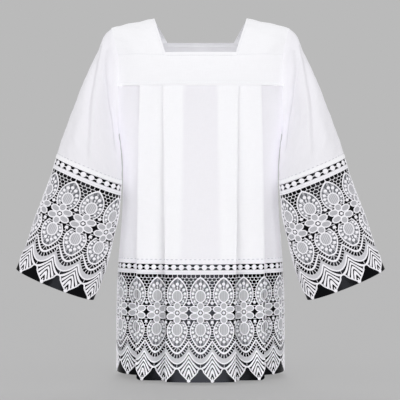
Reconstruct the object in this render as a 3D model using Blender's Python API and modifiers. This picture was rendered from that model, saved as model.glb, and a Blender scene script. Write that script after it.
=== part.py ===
"""Pleated surplice with lace at its hem and cuffs, filled out as it is worn.

Metres, +Z up. The front faces -Y and the wearer's left sleeve is on +X. The origin is midway
between the two points where the neck meets the shoulder ridges. Every piece of cloth is a thin
wall on a surface lofted through sections, and pieces that are sewn together stay a seam apart.
Run with: blender --background --python part.py
"""
import math

import bpy

# ---- driving dimensions -------------------------------------------------------------------
CLOTH = 0.0012             # thickness of every cloth and lace wall
SEAM = 0.0003              # gap left between two pieces that are sewn together
SIDE_SEAM = 0.00045        # the same down the sides, where two turning edges meet
ARMHOLE_SEAM = 0.0009      # and round the armholes, where the cloth turns a corner

NECK_HALF = 0.085          # half the width of the straight front and back neck edges
NECK_RIDGE_HALF = 0.115    # where the slanted sides of the neck meet the shoulder ridge
NECK_FRONT_Z = -0.095      # the front neck edge
NECK_BACK_Z = -0.048       # the back neck edge
SHOULDER_HALF = 0.222      # where the shoulder ridge meets the sleeve
SHOULDER_DROP = 0.0225     # how far the ridge has fallen there
SHOULDER_CURVE = 1.3       # above 1 the ridge falls faster towards the sleeve
YOKE_SEAM_Z = -0.175       # lower edge of the yoke bands, where the pleats start
ARMHOLE_HALF_DEPTH = 0.045
UNDERARM_Z = -0.2825
LACE_SEAM_Z = -0.592       # insertion line between the panels and the hem lace
HEM_Z = -0.8815            # tips of the hem lace
SECTION_POWER = 2.4        # the body's plan is a superellipse, a little squarer than an ellipse

# The body's plan at each height: half its width and how deep it is in front and behind.
BODY_SECTIONS = {
    "z": (YOKE_SEAM_Z, -0.225, UNDERARM_Z, -0.36, -0.48, LACE_SEAM_Z, -0.70, HEM_Z),
    "half_width": (0.2146, 0.2105, 0.2025, 0.1940, 0.1955, 0.2045, 0.2090, 0.2100),
    "front": (0.105, 0.106, 0.108, 0.110, 0.112, 0.115, 0.125, 0.145),
    "back": (0.105, 0.105, 0.106, 0.107, 0.109, 0.112, 0.118, 0.132),
}

# Knife pleats on each half panel, from the centre outward. Each one's outer fold and its hidden
# inner fold are given as the distance from the centre line at the yoke and at the hem, and
# recess is how far the next strip lies behind the outer fold at the hem.
PLEATS = (
    {"fold_yoke": 0.0910, "fold_hem": 0.0852, "inner_yoke": 0.0396, "inner_hem": 0.0532,
     "recess": 0.010},
    {"fold_yoke": 0.1459, "fold_hem": 0.1555, "inner_yoke": 0.0948, "inner_hem": 0.1040,
     "recess": 0.025},
)
LAYER_YOKE = 0.0018        # pitch of a pleat's three layers at the yoke
LAYER_HEM = 0.0068         # and at the hem, where the pleat has opened
RECESS_GROWTH = 2.0        # the recess grows with this power of the way down
SIDE_RISE = 1.5            # how the outermost strip comes back out to the side seam

# Sleeve sections from the armhole down: the ends of each one's longest line, how far forward
# its middle lies, and how far it leans, in metres and radians.
SLEEVE_SECTIONS = {
    "outer_x": (0.2410, 0.2577, 0.2840, 0.3094, 0.3344, 0.3514),
    "outer_z": (-0.0435, -0.085, -0.146, -0.2193, -0.2918, -0.3461),
    "inner_x": (0.2050, 0.2040, 0.2015, 0.1980, 0.1945, 0.1928),
    "inner_z": (-0.2875, -0.294, -0.307, -0.3278, -0.3604, -0.4120),
    "forward": (0.003, 0.010, 0.020, 0.035, 0.050, 0.060),
    "lean": (0.0, 0.01, 0.02, 0.03, 0.04, 0.05),
}
SLEEVE_LACE_SECTIONS = {
    "outer_x": (0.3514, 0.3706, 0.3949, 0.4157, 0.4433),
    "outer_z": (-0.3461, -0.4121, -0.4776, -0.5450, -0.6142),
    "inner_x": (0.1928, 0.1980, 0.2130, 0.2290, 0.2546),
    "inner_z": (-0.4120, -0.4850, -0.5551, -0.6221, -0.6905),
    "forward": (0.060, 0.070, 0.080, 0.090, 0.100),
    "lean": (0.05, 0.06, 0.07, 0.085, 0.10),
}
SLEEVE_ROUND_TOP = 0.560   # girth of the sleeve's tube where it is set in
SLEEVE_ROUND_CUFF = 0.484  # and round the lace: eight of its repeats
LINING_INSIDE = 0.0016     # from the middle of the lace's wall to the middle of the lining's

# How finely each piece is divided: strips around and bands down.
STEPS_AROUND_SLEEVE = 24
YOKE_BANDS = 4
STRAP_STRIPS = 5
PANEL_ROWS = (YOKE_SEAM_Z, -0.225, -0.262, UNDERARM_Z, -0.36, -0.48, LACE_SEAM_Z)
HEM_ROWS = (LACE_SEAM_Z, -0.70, -0.80, HEM_Z)
PLAN_SAMPLES = 240
STRIP_SHARES = (0.35, 0.70)  # how far across each pleat's visible strip its two lines lie

WHITE_COTTON = ("white_cotton", (0.86, 0.87, 0.89), 0.85)
WHITE_LACE = ("white_lace", (0.88, 0.88, 0.89), 0.80)
BLACK_LINING = ("black_lining", (0.012, 0.013, 0.015), 0.60)


# ---- small geometry helpers ---------------------------------------------------------------
def mix(low, high, share):
    return low + (high - low) * share


def read_section(table, name, z):
    """The named column of a table of heights, read at z along a smooth curve."""
    heights = table["z"]
    values = table[name]
    last = len(heights) - 1
    row = next((i for i in range(last) if z >= heights[i + 1]), last - 1)

    def slope(i):
        before, after = max(i - 1, 0), min(i + 1, last)
        return (values[after] - values[before]) / (heights[after] - heights[before])

    span = heights[row + 1] - heights[row]
    t = min(max((z - heights[row]) / span, 0.0), 1.0)
    return (
        values[row] * (1 + 2 * t) * (1 - t) ** 2
        + values[row + 1] * t * t * (3 - 2 * t)
        + slope(row) * span * t * (1 - t) ** 2
        - slope(row + 1) * span * t * t * (1 - t)
    )


def interpolate(xs, ys, x):
    """ys read at x along straight lines between ever larger xs."""
    row = next((i for i in range(1, len(xs)) if x <= xs[i]), len(xs) - 1)
    share = (x - xs[row - 1]) / (xs[row] - xs[row - 1])
    return mix(ys[row - 1], ys[row], share)


def collection_of(name):
    collection = bpy.data.collections.new(name)
    bpy.context.scene.collection.children.link(collection)
    return collection


def material_of(name, colour, roughness):
    found = bpy.data.materials.get(name)
    if found:
        return found
    material = bpy.data.materials.new(name)
    material.use_nodes = True
    shader = material.node_tree.nodes["Principled BSDF"]
    shader.inputs["Base Color"].default_value = (*colour, 1.0)
    shader.inputs["Roughness"].default_value = roughness
    shader.inputs["Metallic"].default_value = 0.0
    return material


def cloth_wall(collection, name, rows, finish, closed=False, mirrored=False):
    """A wall of cloth on the surface through rows of points, each row as long as the next.

    A closed row joins its last point to its first. A mirrored surface is the half that starts
    on the plane x = 0.
    """
    across = len(rows[0])
    strips = across if closed else across - 1
    faces = [
        (
            row * across + strip,
            row * across + (strip + 1) % across,
            (row + 1) * across + (strip + 1) % across,
            (row + 1) * across + strip,
        )
        for row in range(len(rows) - 1)
        for strip in range(strips)
    ]
    mesh = bpy.data.meshes.new(name)
    mesh.from_pydata([point for row in rows for point in row], [], faces)
    mesh.materials.append(material_of(*finish))
    mesh.shade_smooth()
    wall = bpy.data.objects.new(name, mesh)
    collection.objects.link(wall)
    if mirrored:
        mirror = wall.modifiers.new("other half", "MIRROR")
        mirror.merge_threshold = 0.0001
    thickness = wall.modifiers.new("cloth", "SOLIDIFY")
    thickness.thickness = CLOTH
    thickness.offset = 0.0
    thickness.use_even_offset = True
    thickness.use_quality_normals = True
    return wall


# ---- the body's plan at one height --------------------------------------------------------
def armhole_depth(z):
    """How far in front of or behind the shoulder ridge the armhole's edge lies at height z."""
    if z <= UNDERARM_Z:
        return SIDE_SEAM / 2
    down = min(max((YOKE_SEAM_Z - z) / (YOKE_SEAM_Z - UNDERARM_Z), 0.0), 1.0)
    return max(ARMHOLE_HALF_DEPTH * math.sqrt(1 - down * down), SIDE_SEAM / 2)


class Plan:
    """Half of the body's front or back at one height, by the distance along the cloth.

    side is -1 for the front and +1 for the back. It runs from the centre line to the edge of
    the armhole, or to the side seam below it.
    """

    def __init__(self, z, side):
        self.z = z
        self.side = side
        half_width = read_section(BODY_SECTIONS, "half_width", z)
        depth = read_section(BODY_SECTIONS, "front" if side < 0 else "back", z)
        edge = armhole_depth(z) / depth
        last_turn = math.acos(min(edge ** (SECTION_POWER / 2), 1.0))
        self.points = []
        for i in range(PLAN_SAMPLES + 1):
            turn = last_turn * i / PLAN_SAMPLES
            x = half_width * math.sin(turn) ** (2 / SECTION_POWER)
            y = depth * math.cos(turn) ** (2 / SECTION_POWER)
            self.points.append((x, side * y))
        self.along = [0.0]
        for (x0, y0), (x1, y1) in zip(self.points, self.points[1:]):
            self.along.append(self.along[-1] + math.hypot(x1 - x0, y1 - y0))
        self.length = self.along[-1]

    def at_x(self, x):
        """The distance along the cloth where it is x from the centre line."""
        return interpolate([p[0] for p in self.points], self.along, x)

    def point(self, along, inward=0.0):
        """The point that far along the cloth and that far inside it."""
        row = next((i for i in range(1, PLAN_SAMPLES) if along <= self.along[i]), PLAN_SAMPLES)
        x0, y0 = self.points[row - 1]
        x1, y1 = self.points[row]
        span = self.along[row] - self.along[row - 1]
        share = (along - self.along[row - 1]) / span
        inward_x = (y1 - y0) / span * self.side
        inward_y = -(x1 - x0) / span * self.side
        return (
            mix(x0, x1, share) + inward * inward_x,
            mix(y0, y1, share) + inward * inward_y,
            self.z,
        )


def way_down(z):
    """0 at the yoke seam and 1 at the hem."""
    return (YOKE_SEAM_Z - z) / (YOKE_SEAM_Z - HEM_Z)


def pleat_state(plan):
    """Where each pleat's folds lie along the cloth at the plan's height, and how deep."""
    down = way_down(plan.z)
    layer = mix(LAYER_YOKE, LAYER_HEM, down)
    folds = [
        {
            "fold": plan.at_x(mix(pleat["fold_yoke"], pleat["fold_hem"], down)),
            "inner": plan.at_x(mix(pleat["inner_yoke"], pleat["inner_hem"], down)),
            "behind": 2 * layer + pleat["recess"] * down ** RECESS_GROWTH,
        }
        for pleat in PLEATS
    ]
    return layer, folds


def side_strip(plan, start, behind):
    """The outermost strip: it leaves the last fold that far behind and ends at the side."""
    for share in (0.0, 0.33, 0.67, 1.0):
        yield mix(start, plan.length, share), behind * (1 - share) ** SIDE_RISE


def pleated_row(plan, inside=0.0):
    """One half panel's section: the centre strip, then each pleat's three layers in turn.

    A lining is pleated with its lace: it lies that far on the wrong side of it, so each turned
    layer has it in front.
    """
    layer, (first, second) = pleat_state(plan)
    centre = [first["fold"] * share for share in STRIP_SHARES]
    strip = [mix(first["fold"], second["fold"], share) for share in STRIP_SHARES]
    first_fold, first_inner = first["fold"] - inside, first["inner"] - inside
    second_fold, second_inner = second["fold"] - inside, second["inner"] - inside

    def first_under(along):
        share = (along - first["inner"]) / (first["fold"] - first["inner"])
        return mix(2 * layer, first["behind"], share)

    def second_top(along):
        share = (second["fold"] - along) / (second["fold"] - first["fold"])
        return first["behind"] * share

    def second_under(along):
        share = (along - second["inner"]) / (second["fold"] - second["inner"])
        return mix(second_top(second["inner"]) + 2 * layer, second["behind"], share)

    places = [(along, inside) for along in (0.0, *centre, first_fold)]
    places += [(along, layer - inside) for along in (first_fold, centre[1], first_inner)]
    places += [(along, first_under(along) + inside) for along in (first_inner, centre[1])]
    places += [(first["fold"], first["behind"] + inside)]
    places += [(along, second_top(along) + inside) for along in (*strip, second_fold)]
    turned = (second_fold, strip[1], strip[0], second_inner)
    places += [(along, second_top(along) + layer - inside) for along in turned]
    places += [(along, second_under(along) + inside) for along in (second_inner, *strip)]
    outermost = side_strip(plan, second["fold"], second["behind"])
    places += [(along, deep + inside) for along, deep in outermost]
    return [plan.point(*place) for place in places]


# ---- yoke: two bands and two shoulder straps ----------------------------------------------
def ridge(x):
    """Height of the shoulder ridge x from the centre line."""
    out = max((x - NECK_RIDGE_HALF) / (SHOULDER_HALF - NECK_RIDGE_HALF), 0.0)
    return -SHOULDER_DROP * out ** SHOULDER_CURVE


def turn_at(z, top):
    """The yoke rolls a quarter turn from the ridge to its seam: its angle at height z."""
    return math.acos(1 - (top - z) / (top - YOKE_SEAM_Z))


def yoke_point(share, turn, side):
    """A point of the yoke: share 0 at the neck's side and 1 at the armhole, turn 0 at the ridge.

    A negative share reaches the middle of a band at -1.
    """
    plan = Plan(YOKE_SEAM_Z, side)
    neck_along = plan.at_x(NECK_HALF)
    if share < 0:
        along = neck_along * (1 + share)
    else:
        along = mix(neck_along, plan.length, share)
    x, y, _ = plan.point(along)
    ridge_x = mix(NECK_RIDGE_HALF, SHOULDER_HALF, max(share, 0.0))
    top = ridge(ridge_x)
    neck_z = NECK_FRONT_Z if side < 0 else NECK_BACK_Z
    rise = max((top + (YOKE_SEAM_Z - top) * (1 - math.cos(turn)) - neck_z) / (top - neck_z), 0.0)
    return (
        x + (ridge_x - x) * rise if share >= 0 else x,
        y * math.sin(turn),
        top + (YOKE_SEAM_Z + SEAM - top) * (1 - math.cos(turn)),
    )


def build_yoke(collection):
    for name, side, neck_z in (
        ("yoke_front", -1, NECK_FRONT_Z),
        ("yoke_back", 1, NECK_BACK_Z),
    ):
        shares = (-1.0, -0.6, -0.25, 0.0, 0.25, 0.5, 0.75, 1.0)
        rows = []
        for band in range(YOKE_BANDS + 1):
            row = []
            for share in shares:
                top = ridge(mix(NECK_RIDGE_HALF, SHOULDER_HALF, max(share, 0.0)))
                start = turn_at(neck_z, top)
                turn = mix(start, math.pi / 2, band / YOKE_BANDS)
                row.append(yoke_point(share, turn, side))
            rows.append(row)
        cloth_wall(collection, name, rows, WHITE_COTTON, mirrored=True)

    for name, hand in (("shoulder_right", -1), ("shoulder_left", 1)):
        rows = []
        for side, shares_down in ((-1, (1.0, 0.8, 0.6, 0.4, 0.2)), (1, (0.0, 0.33, 0.67, 1.0))):
            neck_z = NECK_FRONT_Z if side < 0 else NECK_BACK_Z
            for down in shares_down:
                row = []
                for strip in range(STRAP_STRIPS + 1):
                    share = strip / STRAP_STRIPS
                    top = ridge(mix(NECK_RIDGE_HALF, SHOULDER_HALF, share))
                    turn = turn_at(neck_z + 2 * SEAM, top) * down
                    x, y, z = yoke_point(share, turn, side)
                    row.append((hand * x, y, z))
                rows.append(row)
        cloth_wall(collection, name, rows, WHITE_COTTON)


# ---- panels, hem lace and its lining ------------------------------------------------------
def build_body(collection):
    for name, side in (("front", -1), ("back", 1)):
        panel = [pleated_row(Plan(z + (SEAM if z == LACE_SEAM_Z else 0), side)) for z in PANEL_ROWS]
        cloth_wall(collection, f"panel_{name}", panel, WHITE_COTTON, mirrored=True)
        lace = [pleated_row(Plan(z, side)) for z in HEM_ROWS]
        cloth_wall(collection, f"hem_lace_{name}", lace, WHITE_LACE, mirrored=True)
        lining = [pleated_row(Plan(z, side), LINING_INSIDE) for z in HEM_ROWS]
        cloth_wall(collection, f"hem_lining_{name}", lining, BLACK_LINING, mirrored=True)


# ---- sleeves ------------------------------------------------------------------------------
def armhole_point(turn):
    """The armhole's edge: turn 0 at the ridge, pi at the underarm, on round the back."""
    side = -1 if turn <= math.pi else 1
    way = (turn if side < 0 else 2 * math.pi - turn) / (math.pi / 2)
    clear = ARMHOLE_SEAM + CLOTH * way / 2
    if way <= 1:
        x, y, z = yoke_point(1.0, way * math.pi / 2, side)
        return x + clear, y, z
    z = mix(YOKE_SEAM_Z, UNDERARM_Z, math.sin((way - 1) * math.pi / 2))
    plan = Plan(z, side)
    x, y, _ = plan.point(plan.length)
    return x + clear, y, z


def ellipse_depth(half_length, girth):
    """Half the depth of an ellipse with that half length and that way round."""
    low, high = 0.0, girth / 4
    for _ in range(40):
        depth = (low + high) / 2
        total = half_length + depth
        root = math.sqrt((3 * half_length + depth) * (half_length + 3 * depth))
        if math.pi * (3 * total - root) < girth:
            low = depth
        else:
            high = depth
    return depth


def sleeve_ring(table, row, girth, inside=0.0, shift=0.0):
    """One section of a sleeve, from its outer end round the front, as an ellipse."""
    outer = (table["outer_x"][row], table["outer_z"][row])
    inner = (table["inner_x"][row], table["inner_z"][row])
    span_x, span_z = outer[0] - inner[0], outer[1] - inner[1]
    half = math.hypot(span_x, span_z) / 2
    depth = ellipse_depth(half, girth)
    across_x, across_z = span_x / (2 * half), span_z / (2 * half)
    lean = table["lean"][row]
    ring = []
    for step in range(STEPS_AROUND_SLEEVE):
        turn = 2 * math.pi * step / STEPS_AROUND_SLEEVE
        along = (half - inside) * math.cos(turn)
        out = (depth - inside) * math.sin(turn)
        drop = out * math.sin(lean) + shift
        ring.append((
            (outer[0] + inner[0]) / 2 + along * across_x + drop * across_z,
            -table["forward"][row] - out * math.cos(lean),
            (outer[1] + inner[1]) / 2 + along * across_z - drop * across_x,
        ))
    return ring


def build_sleeves(collection):
    rows = len(SLEEVE_SECTIONS["outer_x"])
    lace_rows = len(SLEEVE_LACE_SECTIONS["outer_x"])
    armhole = [
        armhole_point(2 * math.pi * step / STEPS_AROUND_SLEEVE)
        for step in range(STEPS_AROUND_SLEEVE)
    ]
    sleeve = [armhole]
    for row in range(rows):
        girth = mix(SLEEVE_ROUND_TOP, SLEEVE_ROUND_CUFF, row / rows)
        shift = -SEAM if row == rows - 1 else 0.0
        sleeve.append(sleeve_ring(SLEEVE_SECTIONS, row, girth, shift=shift))
    girth = mix(SLEEVE_ROUND_TOP, SLEEVE_ROUND_CUFF, (rows - 1) / rows)
    lace, lining = [], []
    for row in range(lace_rows):
        down = row / (lace_rows - 1)
        around = mix(girth, SLEEVE_ROUND_CUFF, down)
        lace.append(sleeve_ring(SLEEVE_LACE_SECTIONS, row, around))
        lining.append(sleeve_ring(SLEEVE_LACE_SECTIONS, row, around, inside=LINING_INSIDE))
    for name, hand in (("right", -1), ("left", 1)):
        for piece, rings, finish in (
            (f"sleeve_{name}", sleeve, WHITE_COTTON),
            (f"sleeve_lace_{name}", lace, WHITE_LACE),
            (f"sleeve_lining_{name}", lining, BLACK_LINING),
        ):
            handed = [[(hand * x, y, z) for x, y, z in ring] for ring in rings]
            cloth_wall(collection, piece, handed, finish, closed=True)


def main():
    for item in list(bpy.data.objects):
        bpy.data.objects.remove(item, do_unlink=True)
    surplice = collection_of("surplice")
    build_yoke(surplice)
    build_body(surplice)
    build_sleeves(surplice)


main()
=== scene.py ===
"""A pleated white surplice with lace at its hem and cuffs, filled out as it is worn.

Metres, +Z up, and the front faces -Y. Each piece of cloth is a thin wall on the surface of the
frame's own wall. The sections follow the garment from the neck down.
"""
import math

import bmesh
import bpy
import numpy as np
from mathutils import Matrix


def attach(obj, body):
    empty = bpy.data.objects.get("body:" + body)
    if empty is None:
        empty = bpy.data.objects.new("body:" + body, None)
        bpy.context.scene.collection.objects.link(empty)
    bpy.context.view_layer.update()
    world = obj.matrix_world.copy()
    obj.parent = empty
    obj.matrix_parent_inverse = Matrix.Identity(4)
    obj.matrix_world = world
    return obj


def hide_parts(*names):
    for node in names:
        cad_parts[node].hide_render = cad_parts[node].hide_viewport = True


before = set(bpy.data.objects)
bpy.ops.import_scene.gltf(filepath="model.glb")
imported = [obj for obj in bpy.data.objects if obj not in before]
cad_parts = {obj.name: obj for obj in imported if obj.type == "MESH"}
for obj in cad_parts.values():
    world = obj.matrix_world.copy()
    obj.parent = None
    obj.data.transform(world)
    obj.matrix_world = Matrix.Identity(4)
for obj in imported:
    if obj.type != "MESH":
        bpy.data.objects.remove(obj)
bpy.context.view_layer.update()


# ---- camera -------------------------------------------------------------------------------
# A portrait lens straight in front of the garment, level with its middle and far enough back to
# take in all of it.
EYE_BACK = 2.5
EYE_Z = -0.451


def in_scene(name, data):
    """A new object of the scene."""
    made = bpy.data.objects.new(name, data)
    bpy.context.scene.collection.objects.link(made)
    return made


camera_data = bpy.data.cameras.new("camera")
camera_data.sensor_width = 36.0
camera_data.lens = 90.0
camera_data.shift_x = -0.00125  # the garment stands half a pixel right of the middle
camera = in_scene("camera", camera_data)
camera.location = (0.0, -EYE_BACK, EYE_Z)
camera.rotation_euler = (math.pi / 2, 0.0, 0.0)
bpy.context.scene.camera = camera


# ---- studio -------------------------------------------------------------------------------
# A pale grey floor just under the hem, in a room of the same even grey. Soft lights stand low in
# front and at both sides, and one stands higher behind.
ROOM = "#BABABA"
FLOOR_Z = -0.8875
FLOOR_HALF = 6.0
# azimuth, elevation, strength, softness in degrees, casts a shadow, shows in a gloss
LIGHTS = {
    "front": (0, 4, 0.26, 16, True, True),
    "near_left": (-30, 6, 0.20, 8, True, False),
    "near_right": (30, 6, 0.20, 8, True, False),
    "wide_left": (-50, 18, 0.75, 30, False, False),
    "wide_right": (50, 18, 0.75, 30, False, False),
    "edge_left": (-85, 6, 0.22, 30, False, False),
    "edge_right": (85, 6, 0.22, 30, False, False),
    "behind": (180, 40, 0.90, 40, True, False),
}
LIGHT_TINT = (0.985, 0.98, 1.0)
FROM_BELOW = 0.55          # how much of the floor's tone is its own light


def linear(code):
    """The linear colour of an sRGB hex code."""
    shares = [int(code[i:i + 2], 16) / 255 for i in (1, 3, 5)]
    return [c / 12.92 if c <= 0.04045 else ((c + 0.055) / 1.055) ** 2.4 for c in shares]


def add_node(tree, kind, sockets=None, **settings):
    """A new node with its settings. A socket takes a value, a node or one of its outputs."""
    node = tree.nodes.new("ShaderNode" + kind)
    for name, value in settings.items():
        setattr(node, name, value)
    for name, value in (sockets or {}).items():
        if isinstance(value, bpy.types.Node):
            value = value.outputs[0]
        if isinstance(value, bpy.types.NodeSocket):
            tree.links.new(value, node.inputs[name])
        else:
            node.inputs[name].default_value = value
    return node


def new_material(name):
    """An empty material and its tree."""
    material = bpy.data.materials.new(name)
    material.use_nodes = True
    material.node_tree.nodes.clear()
    return material, material.node_tree


bpy.context.scene.view_settings.view_transform = "Standard"
world = bpy.data.worlds.new("room")
world.use_nodes = True
world.node_tree.nodes["Background"].inputs["Color"].default_value = (*linear(ROOM), 1.0)
bpy.context.scene.world = world

on_floor = 0.0
for name, (azimuth, elevation, strength, softness, shadow, in_gloss) in LIGHTS.items():
    lamp = bpy.data.lights.new(name, "SUN")
    lamp.energy = strength
    lamp.angle = math.radians(softness)
    lamp.use_shadow = shadow
    lamp.color = LIGHT_TINT
    light = in_scene(name, lamp)
    light.rotation_euler = (math.radians(90 - elevation), 0.0, math.radians(azimuth))
    light.visible_glossy = in_gloss
    on_floor += strength * math.sin(math.radians(elevation)) / math.pi

# Opal acrylic sheet, cast matt and lit from below: it has no gloss, holds only faint shadows
# and is just so pale that the light on it and from below makes it the room's own grey.
acrylic, tree = new_material("opal_acrylic_sheet")
room_tone = linear(ROOM)[0]
share = (1 - FROM_BELOW) * room_tone / (room_tone + on_floor)
sheet = add_node(tree, "BsdfDiffuse", {"Color": (share, share, share, 1.0)})
glow = add_node(tree, "Emission", {"Color": (*linear(ROOM), 1.0), "Strength": FROM_BELOW})
add_node(tree, "OutputMaterial", {"Surface": add_node(tree, "AddShader", {0: sheet, 1: glow})})
corners = [(x * FLOOR_HALF, y * FLOOR_HALF, FLOOR_Z) for x, y in
           ((-1, -1), (1, -1), (1, 1), (-1, 1))]
floor_mesh = bpy.data.meshes.new("floor")
floor_mesh.from_pydata(corners, [], [(0, 1, 2, 3)])
floor_mesh.materials.append(acrylic)
floor = in_scene("floor", floor_mesh)


# ---- yoke and shoulder straps -------------------------------------------------------------
# Two bands of plain-woven cotton across the chest and the back, joined by straps over the
# shoulders. The edges are turned in and topstitched, and the lower ones cover the pleats.
SIDES = {"front": -1, "back": 1}   # which way they lie along y
HANDS = {"left": 1, "right": -1}   # and the wearer's own hands along x
CLOTH = 0.0007             # thickness of the cotton
SEAM = 0.0003              # gap between the yoke and the panel sewn to it
NECK_HALF = 0.085
NECK_RIDGE_HALF = 0.115    # the neck is wider up on the shoulders' ridge
NECK_Z = {-1: -0.095, 1: -0.048}   # in front and at the back
SHOULDER_HALF = 0.222
SHOULDER_DROP = 0.0225
SHOULDER_CURVE = 1.3
YOKE_SEAM_Z = -0.175
SIDE_SEAM = 0.00045        # gap between the front and the back
ARMHOLE_HALF_DEPTH = 0.045
UNDERARM_Z = -0.2825
LACE_SEAM_Z = -0.592
HEM_Z = -0.8815
SECTION_POWER = 2.4        # the body's sections lie between an ellipse and a rectangle
PLAN_SAMPLES = 400
BODY_SECTIONS = {
    "z": (YOKE_SEAM_Z, -0.225, UNDERARM_Z, -0.36, -0.48, LACE_SEAM_Z, -0.70, HEM_Z),
    "half_width": (0.2146, 0.2105, 0.2025, 0.1940, 0.1955, 0.2045, 0.2090, 0.2100),
    "front": (0.105, 0.106, 0.108, 0.110, 0.112, 0.115, 0.125, 0.145),
    "back": (0.105, 0.105, 0.106, 0.107, 0.109, 0.112, 0.118, 0.132),
}
YOKE_SEAM_EASE = (-0.0014, 0.0040)  # how far the seam rises at the middle and at the sides
# The grids' columns as shares of the yoke's width, and their rows as shares of the way down.
YOKE_SHARES = np.concatenate([np.linspace(-1, 0, 19), np.linspace(0, 1, 30)[1:]])
YOKE_ROWS = np.concatenate([np.linspace(0, 0.16, 15), np.linspace(0.2, 0.86, 14),
                            np.linspace(0.88, 1, 14)])
STRAP_SHARES = np.linspace(0, 1, 36)
STRAP_ROWS = {-1: np.linspace(1, 0, 30), 1: np.linspace(0, 1, 20)[1:]}
NECK_TURNING = 0.0050      # width of the turned-in neck edge on the straps
BAND_TURNING = 0.0085      # and on the bands between them
YOKE_TURNING = 0.0070      # and of the lower edge over the pleats
YOKE_RISE = 0.0006         # the whole yoke lies this far out from the frame's wall
TURNING_RISE = 0.0006      # its turned-in edges stand out by this
TURNING_BEND = 0.0008      # within this far to either side of their stitches
GROOVE_SHARE = 0.6         # which pull a groove beside them: its depth as a share of the rise,
GROOVE = (0.0006, 0.0012)  # how far beyond the stitches it lies, and its width
LOWER_RISE = 0.0012        # the same for the lower edge, over the pleats
LOWER_BEND = 0.0015
LOWER_GROOVE_DEPTH = 0.0004
LOWER_GROOVE = (0.0012, 0.0014)
BAND_UNEVEN = 0.0005
STRAP_UNEVEN = 0.0012
# The straps end at these heights at the neck and at the armhole, in front and at the back, and
# are sewn down this far from their edges.
STRAP_ENDS_Z = {-1: (-0.1040, -0.0962), 1: (-0.0570, -0.0590)}
STRAP_STITCHED = 0.0030
STRAP_RISE = 0.0007        # their ends rise by this over the bands
STRAP_LAP = (0.80, 0.93)   # between these shares of the way down
# A stitch's length, the next one's start from its own, its width and how proud it stands.
FINE_STITCH = (0.0032, 0.0045, 0.0007, 0.0003)
LONG_STITCH = (0.0070, 0.0112, 0.0014, 0.0004)


def mix(low, high, share):
    return low + (high - low) * share


def smooth_step(low, high, value):
    share = np.clip((value - low) / (high - low), 0.0, 1.0)
    return share * share * (3 - 2 * share)


def read_section(name, z):
    """The named column of the body's sections, read at z along a smooth curve."""
    heights, values = BODY_SECTIONS["z"], BODY_SECTIONS[name]
    last = len(heights) - 1
    row = next((i for i in range(last) if z >= heights[i + 1]), last - 1)

    def slope(i):
        before, after = max(i - 1, 0), min(i + 1, last)
        return (values[after] - values[before]) / (heights[after] - heights[before])

    span = heights[row + 1] - heights[row]
    t = min(max((z - heights[row]) / span, 0.0), 1.0)
    return (
        values[row] * (1 + 2 * t) * (1 - t) ** 2
        + values[row + 1] * t * t * (3 - 2 * t)
        + slope(row) * span * t * (1 - t) ** 2
        - slope(row + 1) * span * t * t * (1 - t)
    )


class Plan:
    """Half of the body's front (side -1) or back (side 1) at one height.

    It runs from the centre line to the armhole's edge, or to the side seam below it.
    """

    def __init__(self, z, side):
        self.z = z
        depth = read_section("front" if side < 0 else "back", z)
        down = min(max((YOKE_SEAM_Z - z) / (YOKE_SEAM_Z - UNDERARM_Z), 0.0), 1.0)
        edge = max(ARMHOLE_HALF_DEPTH * math.sqrt(1 - down * down), SIDE_SEAM / 2) / depth
        turn = np.linspace(0.0, math.acos(edge ** (SECTION_POWER / 2)), PLAN_SAMPLES)
        self.x = read_section("half_width", z) * np.sin(turn) ** (2 / SECTION_POWER)
        self.y = side * depth * np.cos(turn) ** (2 / SECTION_POWER)
        steps = np.hypot(np.diff(self.x), np.diff(self.y))
        self.along = np.concatenate([[0.0], np.cumsum(steps)])
        self.length = self.along[-1]
        self.inward_x = side * np.gradient(self.y, self.along)
        self.inward_y = -side * np.gradient(self.x, self.along)

    def at_x(self, x):
        return float(np.interp(x, self.x, self.along))

    def points(self, along, inward=0.0):
        """The points that far along the cloth and that far inside it."""
        def read(values):
            return np.interp(along, self.along, values)

        x = read(self.x) + inward * read(self.inward_x)
        y = read(self.y) + inward * read(self.inward_y)
        return np.stack([x, y, np.full_like(x, self.z)], axis=-1)


YOKE_PLANS = {side: Plan(YOKE_SEAM_Z, side) for side in (-1, 1)}


def ridge(x):
    """Height of the shoulder ridge x from the centre line."""
    out = np.maximum((x - NECK_RIDGE_HALF) / (SHOULDER_HALF - NECK_RIDGE_HALF), 0.0)
    return -SHOULDER_DROP * out ** SHOULDER_CURVE


def turn_at(z, top):
    """The yoke rolls a quarter turn from the ridge to its seam: its angle at height z."""
    return np.arccos(1 - (top - z) / (top - YOKE_SEAM_Z))


def yoke_points(share, turn, side):
    """Points of the yoke: share 0 at the neck's side, 1 at the armhole, -1 at the middle."""
    plan = YOKE_PLANS[side]
    neck_along = plan.at_x(NECK_HALF)
    beyond = np.maximum(share, 0.0)
    along = np.where(share < 0, neck_along * (1 + share), mix(neck_along, plan.length, beyond))
    x, y, _ = np.moveaxis(plan.points(along), -1, 0)
    ridge_x = mix(NECK_RIDGE_HALF, SHOULDER_HALF, beyond)
    top = ridge(ridge_x)
    neck_z = NECK_Z[side]
    fall = (YOKE_SEAM_Z - top) * (1 - np.cos(turn))
    rise = np.where(share < 0, 0.0, np.maximum((top + fall - neck_z) / (top - neck_z), 0.0))
    z = top + (YOKE_SEAM_Z + SEAM - top) * (1 - np.cos(turn))
    return np.stack([x + (ridge_x - x) * rise, y * np.sin(turn), z], axis=-1)


def eased(points, share):
    """Points moved with the yoke's seam, by a share of how far it rises there."""
    out = np.abs(points[..., 0]) / SHOULDER_HALF
    moved = points.copy()
    moved[..., 2] += share * mix(*YOKE_SEAM_EASE, out ** 2)
    return moved


MIRROR = np.array([-1.0, 1.0, 1.0])


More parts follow.
